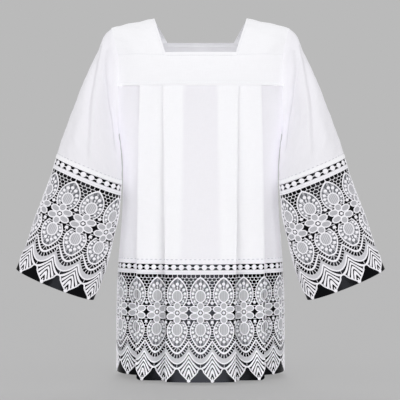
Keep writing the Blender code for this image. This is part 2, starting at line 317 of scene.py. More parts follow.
def both_halves(half, side):
    """A whole front or back from its +X half, with its columns running round the body."""
    if side < 0:
        return np.concatenate([half[:, ::-1] * MIRROR, half[:, 1:]], axis=1)
    return np.concatenate([half[:, ::-1], half[:, 1:] * MIRROR], axis=1)


def both_sides(values):
    """The same for a number that each column of the half has."""
    return np.concatenate([values[..., ::-1], values[..., 1:]], axis=-1)


def outward(grid):
    """The cloth's own outward direction at each point of its grid."""
    down = np.gradient(grid, axis=0)
    across = np.gradient(grid, axis=1)
    normal = np.cross(down, across)
    return normal / np.maximum(np.linalg.norm(normal, axis=-1, keepdims=True), 1e-12)


def way_along(grid, axis):
    """How far each point lies from the first one of its row or column."""
    steps = np.linalg.norm(np.diff(grid, axis=axis), axis=-1)
    start = np.zeros_like(np.take(steps, [0], axis=axis))
    return np.concatenate([start, np.cumsum(steps, axis=axis)], axis=axis)


def grid_faces(rows, columns, closed=False):
    strips = columns if closed else columns - 1
    row, strip = np.meshgrid(np.arange(rows - 1), np.arange(strips), indexing="ij")
    right = (strip + 1) % columns
    corners = (row * columns + strip, (row + 1) * columns + strip,
               (row + 1) * columns + right, row * columns + right)
    return np.stack(corners, axis=-1).reshape(-1, 4)


def new_piece(name, points, faces, material, node, point_values=None):
    """A mesh that stands for one of the frame's nodes, or for none, and rides where they do."""
    mesh = bpy.data.meshes.new(name)
    mesh.from_pydata(points.tolist(), [], faces)
    mesh.materials.append(material)
    mesh.shade_smooth()
    for key, values in (point_values or {}).items():
        kind = "FLOAT" if values.ndim == 1 else "FLOAT_VECTOR"
        field = "value" if values.ndim == 1 else "vector"
        mesh.attributes.new(key, kind, "POINT").data.foreach_set(field, values.ravel())
    piece = in_scene(name, mesh)
    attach(piece, "root")
    if node:
        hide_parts(node)
    return piece


def cloth_piece(name, grid, material, node, thickness=CLOTH, closed=False, layers=None,
                crease_painted_shade=None):
    """A wall of cloth on a grid of points, with its place in the cut kept for the weave."""
    rows, columns = grid.shape[:2]
    cut = np.stack([way_along(grid, 1), way_along(grid, 0), np.zeros((rows, columns))], axis=-1)
    layers = np.ones((rows, columns)) if layers is None else layers
    crease_painted_shade = np.zeros((rows, columns)) if crease_painted_shade is None else crease_painted_shade
    piece = new_piece(name, grid.reshape(-1, 3), grid_faces(rows, columns, closed).tolist(),
                      material, node,
                      {"cut": cut.reshape(-1, 3), "layers": layers.ravel(),
                       "crease_painted_shade": crease_painted_shade.ravel()})

    def on_rim(place, last):
        """The edges with both ends on the grid's first line, or both on its last."""
        return (place[:, 0] == place[:, 1]) & ((place[:, 0] == 0) | (place[:, 0] == last))

    # Its cut edges stay crisp.
    ends = np.empty(2 * len(piece.data.edges), dtype=int)
    piece.data.edges.foreach_get("vertices", ends)
    row, column = np.divmod(ends.reshape(-1, 2), columns)
    rim = on_rim(row, rows - 1)
    if not closed:
        rim |= on_rim(column, columns - 1)
    piece.data.attributes.new("sharp_edge", "BOOLEAN", "EDGE").data.foreach_set("value", rim)
    wall = piece.modifiers.new("cloth", "SOLIDIFY")
    wall.thickness = thickness
    wall.offset = -1.0
    wall.use_even_offset = True
    return piece


def plain_cotton(name, single, layered):
    """Plain-woven cotton and polyester, bleached and pressed.

    The eye sees a matt white with a soft sheen, faint slubs along both threads and a whiter tone
    where the cloth lies in several layers. Painted shade darkens its colour a little along sharp
    creases. Real threads are 0.25 mm; the slubs are drawn 1.5 mm wide so that they show.
    """
    material, tree = new_material(name)
    cut = add_node(tree, "Attribute", attribute_name="cut").outputs["Vector"]
    slubs = []
    for scale in ((650.0, 45.0, 1.0), (45.0, 650.0, 1.0)):
        place = add_node(tree, "Mapping", {"Vector": cut, "Scale": scale})
        slubs.append(add_node(tree, "TexNoise", {"Vector": place, "Scale": 1.0, "Detail": 2.0}))
    weave = add_node(tree, "Math", {0: slubs[0], 1: slubs[1]}, operation="ADD")
    shade = add_node(tree, "MapRange", {0: weave, 1: 0.7, 2: 1.3, 3: 0.968, 4: 1.0})
    layers = add_node(tree, "Attribute", attribute_name="layers").outputs["Fac"]
    tone = add_node(tree, "Mix", {0: layers, 6: (*linear(single), 1), 7: (*linear(layered), 1)},
                    data_type="RGBA").outputs[2]
    # Painted shade: the colour is darkened along sharp creases by the value they carry.
    crease_painted_shade = add_node(tree, "Attribute", attribute_name="crease_painted_shade").outputs["Fac"]
    left = add_node(tree, "Math", {0: 1.0, 1: crease_painted_shade}, operation="SUBTRACT")
    shade = add_node(tree, "Math", {0: shade, 1: left}, operation="MULTIPLY")
    colour = add_node(tree, "VectorMath", {0: tone, 1: shade}, operation="MULTIPLY")
    bump = add_node(tree, "Bump", {"Height": weave, "Strength": 0.12, "Distance": 0.0004})
    shader = add_node(tree, "BsdfPrincipled", {
        "Base Color": colour, "Roughness": 0.82, "Sheen Weight": 0.08,
        "Specular IOR Level": 0.25, "Normal": bump})
    add_node(tree, "OutputMaterial", {"Surface": shader})
    return material


COTTON = plain_cotton("plain_woven_cotton", "#F1F0F4", "#FAFAFC")


def near(distance, at, width):
    return np.exp(-(((distance - at) / width) ** 2))


def within(distance, width, bend):
    """1 up to that width and 0 beyond it, passing over this far to either side."""
    return smooth_step(width + bend, width - bend, distance)


def turned_edge(distance, width):
    """How far a turned-in edge stands out, with the groove beside its stitches."""
    beyond, groove_width = GROOVE
    return TURNING_RISE * (within(distance, width, TURNING_BEND)
                           - GROOVE_SHARE * near(distance, width + beyond, groove_width))


def read_along(line, way, places):
    """The points of a line at those places on the way along it."""
    return np.stack([np.interp(places, way, axis) for axis in line.T], axis=-1)


def seam_on(grid, facing, distance, at):
    """The line across a grid that far down its columns, and the way the cloth faces there."""
    return [np.array([read_along(field[:, column], distance[:, column], at)
                      for column in range(grid.shape[1])]) for field in (grid, facing)]


STITCH_PLACES = np.array([0.0, 0.2, 0.8, 1.0])  # a stitch's ends and its full width between


def sewn_line(line, facing, stitch):
    """Stitches along a line on the cloth: a row of low bars with pointed ends."""
    length, pitch, width, proud = stitch
    way = way_along(line[None], 1)[0]
    points, faces = [], []
    for start in np.arange(pitch - length, way[-1] - length, pitch):
        places = start + length * STITCH_PLACES
        middle, up = read_along(line, way, places), read_along(facing, way, places)
        aside = np.cross(up, np.gradient(middle, axis=0))
        aside *= width / 2 / np.maximum(np.linalg.norm(aside, axis=1, keepdims=True), 1e-12)
        first = len(points)
        points += [middle[0], middle[3]]
        for i in (1, 2):
            points += [middle[i] - aside[i], middle[i] + up[i] * proud, middle[i] + aside[i]]
        faces += [[first + k for k in face] for face in (
            (2, 5, 6, 3), (3, 6, 7, 4), (2, 4, 7, 5),
            (0, 2, 3), (0, 3, 4), (0, 4, 2), (1, 6, 5), (1, 7, 6), (1, 5, 7))]
    return np.array(points), faces


def sewn_piece(name, lines, stitch, material):
    """One mesh of the stitches along several lines, each a line and the way its cloth faces."""
    points, faces, count = [], [], 0
    for line, facing in lines:
        made, its_faces = sewn_line(line, facing, stitch)
        points.append(made)
        faces += [[i + count for i in face] for face in its_faces]
        count += len(made)
    return new_piece(name, np.concatenate(points), faces, material, None)


def sewing_thread(name, colour):
    """Spun polyester sewing thread, matt, greyed by painted shade where it is sunk into the
    cloth.
    """
    material, tree = new_material(name)
    shader = add_node(tree, "BsdfPrincipled", {
        "Base Color": (*linear(colour), 1), "Roughness": 0.7, "Specular IOR Level": 0.3})
    add_node(tree, "OutputMaterial", {"Surface": shader})
    return material


# Both threads are white; their grey is painted shade, light on the yoke and straps and deep on
# the hem and cuffs.
THREAD_LIGHT_PAINTED_SHADE = sewing_thread("white_thread_light_painted_shade", "#E6E6EC")
THREAD_DEEP_PAINTED_SHADE = sewing_thread("white_thread_deep_painted_shade", "#C4C5CC")


WAVES = ((0.071, 0.4), (0.047, 1.3), (0.032, -0.7), (0.023, 2.2))  # length and direction
WAVES_CREST = 0.11         # what their sum often reaches, each counted as high as it is long


def uneven(along, across, height, seed):
    """Soft low unevenness that worn cotton keeps after pressing."""
    total = 0.0
    for i, (length, turn) in enumerate(WAVES):
        way = along * math.cos(turn + seed) + across * math.sin(turn + seed)
        total = total + np.sin(way * 2 * math.pi / length + seed * (i + 2)) * length
    return height * total / WAVES_CREST


for name, side in SIDES.items():
    tops = ridge(mix(NECK_RIDGE_HALF, SHOULDER_HALF, np.maximum(YOKE_SHARES, 0.0)))
    starts = turn_at(NECK_Z[side], tops)
    turns = starts + (math.pi / 2 - starts) * YOKE_ROWS[:, None]
    grid = both_halves(yoke_points(YOKE_SHARES[None, :] + 0 * turns, turns, side), side)
    grid = eased(grid, YOKE_ROWS[:, None])
    fallen = way_along(grid, 0)
    left = fallen[-1] - fallen
    between_straps = within(both_sides(YOKE_SHARES), 0.0, 0.02)
    rise = turned_edge(fallen, BAND_TURNING) * between_straps
    rise += LOWER_RISE * within(left, YOKE_TURNING, LOWER_BEND)
    rise -= LOWER_GROOVE_DEPTH * near(left, YOKE_TURNING + LOWER_GROOVE[0], LOWER_GROOVE[1])
    rise += YOKE_RISE + uneven(fallen, way_along(grid, 1), BAND_UNEVEN, side + 2.0)
    grid = grid + outward(grid) * rise[..., None]
    piece = cloth_piece(f"yoke_band_{name}", grid, COTTON, f"yoke_{name}")
    facing = outward(grid)
    neck = both_sides(YOKE_SHARES) < 0.0
    seams = [seam_on(grid[:, neck], facing[:, neck], fallen[:, neck], BAND_TURNING),
             seam_on(grid[::-1], facing[::-1], left[::-1], YOKE_TURNING)]
    sewn_piece(f"yoke_stitching_{name}", seams, FINE_STITCH, THREAD_LIGHT_PAINTED_SHADE)

for hand_name, hand in HANDS.items():
    tops = ridge(mix(NECK_RIDGE_HALF, SHOULDER_HALF, STRAP_SHARES))
    rows, ends = [], []
    for side, downs in STRAP_ROWS.items():
        turns = turn_at(mix(*STRAP_ENDS_Z[side], STRAP_SHARES), tops) * downs[:, None]
        rows.append(yoke_points(STRAP_SHARES[None, :] + 0 * turns, turns, side))
        ends.append(smooth_step(*STRAP_LAP, downs))
    grid = np.concatenate(rows)
    grid = grid[:, ::-1] if hand > 0 else grid * MIRROR
    across = way_along(grid, 1)
    from_neck = across[:, -1:] - across if hand > 0 else across
    rise = turned_edge(from_neck, NECK_TURNING)
    rise += YOKE_RISE + STRAP_RISE * np.concatenate(ends)[:, None]
    rise += uneven(way_along(grid, 0), from_neck, STRAP_UNEVEN, 4.0 + 0.3 * hand)
    grid = grid + outward(grid) * rise[..., None]
    piece = cloth_piece(f"strap_{hand_name}", grid, COTTON, f"shoulder_{hand_name}")
    facing = outward(grid)
    down = way_along(grid, 0)
    from_neck, *neck_first = (field[:, ::-hand].swapaxes(0, 1)
                              for field in (from_neck, grid, facing))
    seams = [seam_on(*neck_first, from_neck, NECK_TURNING),
             seam_on(grid, facing, down, STRAP_STITCHED),
             seam_on(grid[::-1], facing[::-1], (down[-1] - down)[::-1], STRAP_STITCHED)]
    sewn_piece(f"strap_stitching_{hand_name}", seams, FINE_STITCH, THREAD_LIGHT_PAINTED_SHADE)


# ---- pleated panels -----------------------------------------------------------------------
# Two wide rectangles of the same cotton, each laid in four knife pleats under a yoke band and
# pressed, with the folds opening out towards the hem.

# Half the pleats, from the middle outward: where the fold that shows and the one inside it lie
# at the yoke and at the hem, how far the cloth under the former has sunk back at the hem, and how
# far the former bulges outward halfway down.
PLEATS = (
    {"fold_yoke": 0.0910, "fold_hem": 0.0836, "inner_yoke": 0.0396, "inner_hem": 0.0532,
     "recess": 0.010, "bow": 0.0},
    {"fold_yoke": 0.1470, "fold_hem": 0.1562, "inner_yoke": 0.0948, "inner_hem": 0.1040,
     "recess": 0.025, "bow": 0.0038},
)
LAYERS_APART = (0.0018, 0.0068)  # how far one layer lies behind the next at the yoke and the hem
RECESS_GROWTH = 2.0        # the power of the way down by which it sinks back
SIDE_RISE = 1.5            # and of the way out by which it comes forward to the side seam
HEM_LIFTS = (0.0008, 0.0058)  # how far the hem is drawn up in the last pleat and at the side
HEM_LIFT_GROWTH = 1.2
# The whiter tone of cloth in layers starts at the first inner fold, passing over this far to
# either side of it at the yoke and at the hem. By the hem it has come this share of the way to an
# even tone.
LAYERS_SHOW = (0.0015, 0.014)
EVEN_AT_HEM = 0.6
EVEN_LAYERS = 0.5
PANEL_ROWS = 60
PANEL_EASED_TO = -0.26     # the panels rise with the yoke's seam as far down as this
STRIP_STEPS = (16, 6, 9, 6, 9, 15, 6, 9, 6, 9, 24)  # strips and the bends between them
INNER_STRIPS = 6           # as far as the strip between the two pleats, the hem stays level


def way_down(z):
    """0 at the yoke seam and 1 at the hem."""
    return (YOKE_SEAM_Z - z) / (YOKE_SEAM_Z - HEM_Z)


def pleated_path(z, side, inside=0.0):
    """The half panel's section at one height, and how many layers it lies in at each point.

    A lining is pleated with its lace, so it lies that far on the wrong side of it.
    """
    plan = Plan(z, side)
    down = way_down(z)
    layer = mix(*LAYERS_APART, down)
    bend = layer / 2
    fold, inner, behind = [], [], []
    for pleat in PLEATS:
        bulge = 4 * pleat["bow"] * down * (1 - down)
        fold.append(plan.at_x(mix(pleat["fold_yoke"], pleat["fold_hem"], down) + bulge))
        inner.append(plan.at_x(mix(pleat["inner_yoke"], pleat["inner_hem"], down)))
        behind.append(2 * layer + pleat["recess"] * down ** RECESS_GROWTH)
    counts = iter(STRIP_STEPS)

    def strip(start, end, depth):
        along = np.linspace(start, end, next(counts) + 1)
        return along, depth(along)

    def turn(middle, direction, depth):
        angle = np.linspace(-math.pi / 2, math.pi / 2, next(counts) + 1)
        return middle + direction * bend * np.cos(angle), depth + bend + bend * np.sin(angle)

    def top(along):
        return behind[0] * (fold[1] - along) / (fold[1] - fold[0])

    def under(pleat, start):
        def depth(along):
            share = (along - inner[pleat]) / (fold[pleat] - inner[pleat])
            return mix(start + 2 * layer, behind[pleat], share)

        return depth

    def side_depth(along):
        share = (along - fold[1]) / (plan.length - fold[1])
        return behind[1] * (1 - share) ** SIDE_RISE

    parts = [
        strip(0.0, fold[0] - bend, lambda along: 0 * along),
        turn(fold[0] - bend, 1, 0.0),
        strip(fold[0] - bend, inner[0] + bend, lambda along: layer + 0 * along),
        turn(inner[0] + bend, -1, layer),
        strip(inner[0] + bend, fold[0], under(0, 0.0)),
        strip(fold[0], fold[1] - bend, top),
        turn(fold[1] - bend, 1, 0.0),
        strip(fold[1] - bend, inner[1] + bend, lambda along: top(along) + layer),
        turn(inner[1] + bend, -1, top(inner[1]) + layer),
        strip(inner[1] + bend, fold[1], under(1, top(inner[1]))),
        strip(fold[1], plan.length, side_depth),
    ]
    along = np.concatenate([parts[0][0]] + [part[0][1:] for part in parts[1:]])
    depth = np.concatenate([parts[0][1]] + [part[1][1:] for part in parts[1:]])
    way_a, way_d = np.gradient(along), np.gradient(depth)
    span = np.hypot(way_a, way_d)
    points = plan.points(along - inside * way_d / span, depth + inside * way_a / span)
    lift = mix(*HEM_LIFTS, smooth_step(fold[1] - 2 * bend, fold[1], along))
    lift[:sum(STRIP_STEPS[:INNER_STRIPS])] = 0.0
    on_lace = max(0.0, (LACE_SEAM_Z - z) / (LACE_SEAM_Z - HEM_Z))
    points[..., 2] += lift * on_lace ** HEM_LIFT_GROWTH
    show = mix(*LAYERS_SHOW, down)
    layers = smooth_step(inner[0] - show, inner[0] + show, along)
    layers[along > fold[1] + 0.0001] = 0.0
    return points, mix(layers, EVEN_LAYERS, EVEN_AT_HEM * down)


def pleated_grid(heights, side, inside=0.0):
    points, layers = zip(*(pleated_path(z, side, inside) for z in heights))
    return both_halves(np.array(points), side), both_sides(np.array(layers))


for name, side in SIDES.items():
    heights = np.linspace(YOKE_SEAM_Z, LACE_SEAM_Z, PANEL_ROWS)
    grid, layers = pleated_grid(heights, side)
    grid = eased(grid, smooth_step(PANEL_EASED_TO, YOKE_SEAM_Z, heights)[:, None])
    piece = cloth_piece(f"pleated_panel_{name}", grid, COTTON, f"panel_{name}",
                        layers=layers)


# ---- sleeves ------------------------------------------------------------------------------
# Wide straight tubes of the same cotton, set into the armholes with the seam's allowances turned
# into the sleeve, and hanging in soft creases from the shoulder's end.

# Rings down the sleeve: where the outer and the inner end of each lie, how far forward it hangs,
# and the angle at which it leans.
SLEEVE_RINGS = {
    "outer_x": (0.2410, 0.2577, 0.2840, 0.3094, 0.3344, 0.3514, 0.3706, 0.3949, 0.4157, 0.4433),
    "outer_z": (-0.0435, -0.085, -0.146, -0.2193, -0.2918, -0.3461, -0.4121, -0.4776, -0.5450,
                -0.6142),
    "inner_x": (0.2050, 0.2040, 0.2015, 0.1980, 0.1945, 0.1928, 0.1980, 0.2130, 0.2290, 0.2546),
    "inner_z": (-0.2875, -0.294, -0.307, -0.3278, -0.3604, -0.4120, -0.4850, -0.5551, -0.6221,
                -0.6905),
    "forward": (0.003, 0.010, 0.020, 0.035, 0.050, 0.060, 0.070, 0.080, 0.090, 0.100),
    "lean": (0.0, 0.01, 0.02, 0.03, 0.04, 0.05, 0.06, 0.07, 0.085, 0.10),
}
COTTON_RINGS = 6
SLEEVE_ROUND_TOP = 0.560
SLEEVE_ROUND_CUFF = 0.484
ARMHOLE_LAP = 0.0015       # the sleeve's head lies over the yoke's edge by this
SEAM_BAND = 0.0125         # its seam allowances are sewn flat and show as a raised band
SEAM_BAND_BEND = 0.0015    # passing over this far to either side
SEAM_BAND_RISE = 0.0008
SEAM_BAND_WHITER = 0.25    # the share of the layered tone that shows on it
LACE_BAND = 0.0105         # the lace's first row, sewn on over the sleeve's last edge
LACE_BAND_BEND = 0.0010
LACE_BAND_RISE = 0.0010
# Creases: places down the sleeve in grid rows and round it in degrees from its outer end, the
# depth, the widths of its two sides, the one nearer to the outer end first, and how much painted
# shade darkens the cloth's colour along it.
CREASES = (
    (((12, 22), (16, 34), (20, 47), (24, 58), (28, 65), (32, 73), (36, 79), (40, 84), (48, 90),
      (56, 93)), 0.0080, (0.0048, 0.016), 0.08),
    (((5, 50), (8, 77), (12, 112), (16, 132), (20, 140), (24, 145), (30, 149), (38, 152)),
     0.0042, (0.014, 0.010), 0.18),
    (((34, 48), (44, 40), (56, 36)), 0.0024, (0.018, 0.022), 0.0),
    (((14, 330), (20, 318), (28, 306), (36, 298), (46, 292), (54, 289)),
     0.0045, (0.007, 0.024), 0.06),
    (((7, 290), (11, 255), (17, 232), (24, 222), (32, 216), (42, 211)),
     0.0040, (0.018, 0.007), 0.10),
)
CREASE_SHADE_WIDTHS = (0.0065, 0.0035)
CREASE_PLACES = 120        # each crease is read at so many places along it
CREASE_FADE = (0.12, 0.92, 0.7)  # where on half a wave its depth starts and ends, and a power
CREASES_END = 0.05         # they flatten out towards the lace within this
SLEEVE_UNEVEN = 0.0008
STEPS_AROUND = 192
SLEEVE_STEPS = [6] + [10] * (COTTON_RINGS - 1)
CUFF_STEPS = [12] * (len(SLEEVE_RINGS["lean"]) - COTTON_RINGS)


def armhole_ring(turns):
    """The armhole's edge on the +X side: turn 0 at the ridge, pi at the underarm."""
    ring = []
    for turn in turns:
        side = -1 if turn <= math.pi else 1
        way = (turn if side < 0 else 2 * math.pi - turn) / (math.pi / 2)
        if way <= 1:
            point = yoke_points(np.array(1.0), np.array(way * math.pi / 2), side)
        else:
            z = mix(YOKE_SEAM_Z, UNDERARM_Z, math.sin((way - 1) * math.pi / 2))
            plan = Plan(z, side)
            point = plan.points(np.array(plan.length))
        ring.append(point - np.array([ARMHOLE_LAP, 0.0, 0.0]))
    return eased(np.array(ring), np.sin(np.asarray(turns) / 2) ** 4)


def ellipse_depth(half_length, girth):
    """Half the depth of an ellipse with that half length and that way round."""
    depths = np.linspace(0.0, girth / 4, 4000)
    total = half_length + depths
    root = np.sqrt((3 * half_length + depths) * (half_length + 3 * depths))
    return float(np.interp(girth, math.pi * (3 * total - root), depths))


def sleeve_ring(row, girth, turns, inside=0.0):
    """One section of the sleeve on the +X side, from its outer end round the front."""
    table = {key: values[row] for key, values in SLEEVE_RINGS.items()}
    span_x = table["outer_x"] - table["inner_x"]
    span_z = table["outer_z"] - table["inner_z"]
    half = math.hypot(span_x, span_z) / 2
    depth = ellipse_depth(half, girth)
    along = (half - inside) * np.cos(turns) / (2 * half)
    out = (depth - inside) * np.sin(turns)
    drop = out * math.sin(table["lean"]) / (2 * half)
    return np.stack([
        (table["outer_x"] + table["inner_x"]) / 2 + along * span_x + drop * span_z,
        -table["forward"] - out * math.cos(table["lean"]),
        (table["outer_z"] + table["inner_z"]) / 2 + along * span_z - drop * span_x,
    ], axis=-1)


def smooth_through(knots, counts):
    """Places on a smooth way through the knots, with that many steps between two of them.

    A knot is a point, or a ring or row of points.
    """
    ends = np.concatenate([2 * knots[:1] - knots[1:2], knots, 2 * knots[-1:] - knots[-2:-1]])
    made = []
    for a, b, c, d, count in zip(ends, ends[1:], ends[2:], ends[3:], counts):
        t = (np.arange(count) / count).reshape(-1, *[1] * a.ndim)
        made.append(0.5 * (2 * b + (c - a) * t + (2 * a - 5 * b + 4 * c - d) * t ** 2
                           + (3 * b - a - 3 * c + d) * t ** 3))
    return np.concatenate(made + [knots[-1:]])


def sleeve_grid(inside=0.0):
    """The whole sleeve on the +X side, from the armhole to the cuff."""
    turns = np.linspace(0, 2 * math.pi, STEPS_AROUND, endpoint=False)
    lace_start = mix(SLEEVE_ROUND_TOP, SLEEVE_ROUND_CUFF, (COTTON_RINGS - 1) / COTTON_RINGS)
    girths = [*np.linspace(SLEEVE_ROUND_TOP, lace_start, COTTON_RINGS),
              *np.linspace(lace_start, SLEEVE_ROUND_CUFF, len(CUFF_STEPS) + 1)[1:]]
    rings = [sleeve_ring(row, girth, turns, inside) for row, girth in enumerate(girths)]
    return smooth_through(np.array([armhole_ring(turns)] + rings), SLEEVE_STEPS + CUFF_STEPS)


def turned_for(hand, values):
    """A +X sleeve's grid as it is, or mirrored, with its columns running the outward way."""
    if hand > 0:
        return values[:, ::-1]
    return values * MIRROR if values.ndim == 3 else values


def creased(grid, facing):
    """How far in each point of the sleeve's cotton lies, along the creases, and their shade."""
    rows, columns = grid.shape[:2]
    column = np.arange(columns)
    total, shades = np.zeros((rows, columns)), np.zeros((rows, columns))
    fade_start, fade_end, fade_power = CREASE_FADE
    for line, depth, widths, shade in CREASES:
        places = np.array(line, dtype=float)
        at_row = np.linspace(places[0, 0], places[-1, 0], CREASE_PLACES)
        at_column = np.interp(at_row, *places.T) / 360 * columns
        left = at_column.astype(int)
        share = (at_column - left)[:, None]
        top = np.minimum(at_row.astype(int), rows - 1)
        bottom = np.minimum(top + 1, rows - 1)
        drop = (at_row - top)[:, None]
        spine = mix(mix(grid[top, left], grid[top, (left + 1) % columns], share),
                    mix(grid[bottom, left], grid[bottom, (left + 1) % columns], share), drop)
        fade = np.linspace(fade_start, fade_end, CREASE_PLACES) * math.pi
        fade = np.sin(fade) ** fade_power
        way = np.gradient(spine, axis=0)
        for row in range(rows):
            apart = grid[row][:, None] - spine[None]
            nearest = np.linalg.norm(apart, axis=2).argmin(axis=1)
            off = apart[column, nearest]
            side = np.einsum("ij,ij->i", off, np.cross(facing[row], way[nearest]))
            off = np.linalg.norm(off, axis=1)
            # The second pass is the painted shade that darkens the cloth's colour along each
            # crease.
            for values, height, (outer, inner) in ((total, depth, widths),
                                                   (shades, shade, CREASE_SHADE_WIDTHS)):
                width = np.where(side > 0, inner, outer)
                values[row] += height * fade[nearest] * near(off, 0.0, width)
    return total, shades


sleeve_cloth = sleeve_grid()
plain = sleeve_cloth[:sum(SLEEVE_STEPS) + 1]
facing = -outward(np.concatenate([plain[:, -1:], plain, plain[:, :1]], axis=1))[:, 1:-1]
fallen = way_along(plain, 0)
left = fallen[-1] - fallen
band = within(fallen, SEAM_BAND, SEAM_BAND_BEND)
lace_band = within(left, LACE_BAND, LACE_BAND_BEND)
rise = SEAM_BAND_RISE * band + LACE_BAND_RISE * lace_band
# The creases sink the cloth and darken its colour with painted shade, away from the seam band.
creases, crease_shade = (values * (1 - band) * smooth_step(0.0, CREASES_END, left)
                         for values in creased(plain, facing))
rise -= creases
rise += uneven(fallen, way_along(plain, 1), SLEEVE_UNEVEN, 1.0) * (1 - band) * (1 - lace_band)
shaped = plain + facing * rise[..., None]
sleeve_layers = np.maximum(SEAM_BAND_WHITER * band, lace_band)
for hand_name, hand in HANDS.items():
    piece = cloth_piece(f"sleeve_cloth_{hand_name}", turned_for(hand, shaped), COTTON,
                        f"sleeve_{hand_name}", closed=True,
                        layers=turned_for(hand, sleeve_layers),
                        crease_painted_shade=turned_for(hand, crease_shade))
    around = np.arange(STEPS_AROUND + 1) % STEPS_AROUND
    rings = seam_on(*(field[::-1, around] for field in (shaped, facing, left)), LACE_BAND)
    if hand < 0:
        rings = [ring * MIRROR for ring in rings]
    sewn_piece(f"sleeve_stitching_{hand_name}", [rings], LONG_STITCH, THREAD_DEEP_PAINTED_SHADE)


# ---- hem lace -----------------------------------------------------------------------------
# Chemical lace: cotton thread embroidered on a ground that is washed away, which leaves padded
# outlines, threaded ovals and petals, knots and a net. It is sewn to the panels and pleated
# with them. The chart is in millimetres: across from a column's middle, and down from the seam.
REPEAT = 55.3              # from one column of ovals to the next
LACE_TOP = -0.7            # where the seam and the hem lie on the chart
LACE_BOTTOM = 292.0
LACE_EASE = 1.7            # it is eased in so that its middle lies this much lower
LACE_BASE = -0.0006        # the lace's wrong side, from the middle of its wall
# Where each fold of the half panel falls on the lace, in repeats from its middle: at the seam,
# at the hem, and how late the one passes into the other. The side seam cuts the lace last.
FOLDS_ON_LACE = (
    (0.0, 1.607, 2.11, 2.607, 4.075, 5.064, 5.960, 7.75),
    (0.0, 1.526, 1.92, 2.290, 3.880, 4.890, 5.700, 7.75),
    (1.0, 1.0, 2.0, 3.0, 3.0, 3.0, 1.0, 1.0),
)
HALF_REPEATS = FOLDS_ON_LACE[0][-1]
SAMPLES_PER_REPEAT = 40
SMOOTH_STEP = 3.0

# Cross-sections: how far across, and how high as a share of the full height.
ROUND = ((0.0, 0.0), (0.12, 0.7), (0.5, 1.0), (0.88, 0.7), (1.0, 0.0))
THREAD = ((0.0, 0.0), (0.5, 1.0), (1.0, 0.0))
FLAT = ((0.0, 0.0), (0.0, 1.0), (1.0, 1.0), (1.0, 0.0))
PADDED = ((0.0, 0.0), (0.05, 0.75), (0.14, 1.0), (0.86, 1.0), (0.95, 0.75), (1.0, 0.0))
BUTTED = ((0.0, 0.0), (0.0, 1.0), (0.9, 1.0), (0.96, 0.75), (1.0, 0.0))
# A knot's rings, as shares of its radius and of its height.
DOME = ((1.0, 0.0), (0.95, 0.6), (0.74, 0.92))

# How much of the ground shows between the stitches, with painted shade for the low ones: none
# in the cords, some in the fillings.
CLOSE = 0.0
DENSE = 0.15
FILLING = 0.44

# Rows that run the whole length: their middle, width, height, section and openness.
HEADING_PAD = (5.3, 12.0, 0.9, BUTTED, CLOSE)
HEADING_ROWS = (
    (11.0, 1.8, 1.3, ROUND, CLOSE),
    (19.2, 1.8, 0.7, ROUND, CLOSE),
    (26.9, 2.8, 0.7, ROUND, DENSE),
    (29.5, 2.8, 1.1, ROUND, CLOSE),
    (32.0, 2.8, 0.8, PADDED, DENSE),
    (34.3, 3.6, 1.2, ROUND, CLOSE),
)
HEADING_STEPS = 16         # across one repeat
HEADING_DISCS = {"across": (9.2, 27.65), "down": 19.2, "radius": 6.4, "height": 1.1}

# Ovals: the outline's right half with its widths, the oval within it, and knots between them.
OVALS = (
    {
        "outline": ((0, 43), (3.5, 45), (8.4, 48.8), (12, 52.4), (15.7, 56.8), (18.2, 60.6),
                    (20.2, 64.6), (22, 69.8), (23.3, 75), (24, 80), (24, 85), (23.3, 90),
                    (22.3, 95), (20.5, 100), (17.5, 105), (14.5, 109)),
        "widths": ((45, 62, 110), (4.0, 2.6, 2.6)),
        "middle": (0, 87.1), "half": (11.7, 14.2),
        "knots": ((0, 58.3, 4.1), (8.9, 62.6, 4.1), (15.3, 71.8, 3.8), (18.2, 80.8, 3.5),
                  (18.2, 89.6, 2.8), (14.2, 98.5, 2.6), (0, 67, 2.0)),
    },
    {
        "outline": ((14.5, 146), (17.5, 150), (20, 155), (22.3, 160), (23.5, 165), (23.7, 170),
                    (23.3, 175), (21.7, 180), (20.3, 185), (18, 190), (14.5, 195.5),
                    (11.9, 200), (7.5, 205), (0, 206.8)),
        "widths": ((146, 190, 206), (2.6, 3.0, 4.0)),
        "middle": (0, 166.2), "half": (11.7, 14.6),
        "knots": ((15, 156, 2.7), (18.6, 162.8, 3.1), (18.3, 172.7, 3.4), (14.5, 182, 3.8),
                  (7.5, 189.2, 3.8), (0, 195, 4.0), (0, 187.2, 1.9)),
    },
)
INNER_OVAL_WIDTH = 2.9
RING_PITCH = 3.2           # threads between an inner oval and its outline
RING_THREAD_WIDTH = 1.3
KNOT_CLEARANCE = 0.5       # they stay this far off the knots, except through their middles,
KNOT_MIDDLE = 0.6          # up to this share of a knot's radius

# The flower: its middle, and each petal's middle, half sizes and tilt in degrees.
FLOWER = {"down": 126.3, "knot": 3.6, "ring": 7.0, "ring_width": 2.2,
          "spokes": 6, "spoke": (2.5, 6.5), "spoke_width": 0.6}
PETALS = (
    (0.0, 110.3, 7.5, 8.3, 0.0),
    (0.0, 143.0, 7.4, 8.4, 0.0),
    (14.7, 118.0, 10.2, 7.2, -10.0),
    (14.7, 134.5, 10.2, 7.2, 10.0),
)
# Short bars that tie the ovals' ends to the petals.
PETAL_TIES = (((7.5, 103.6), (14.4, 101.6)), ((8.2, 106.4), (14.6, 105.2)),
              ((8, 111.4), (14, 110.6)), ((8, 148.6), (15, 148)), ((7.4, 152.6), (15, 153.2)))
PETAL_TIE_WIDTH = 1.5
PETAL_OUTLINE_WIDTH = 2.7

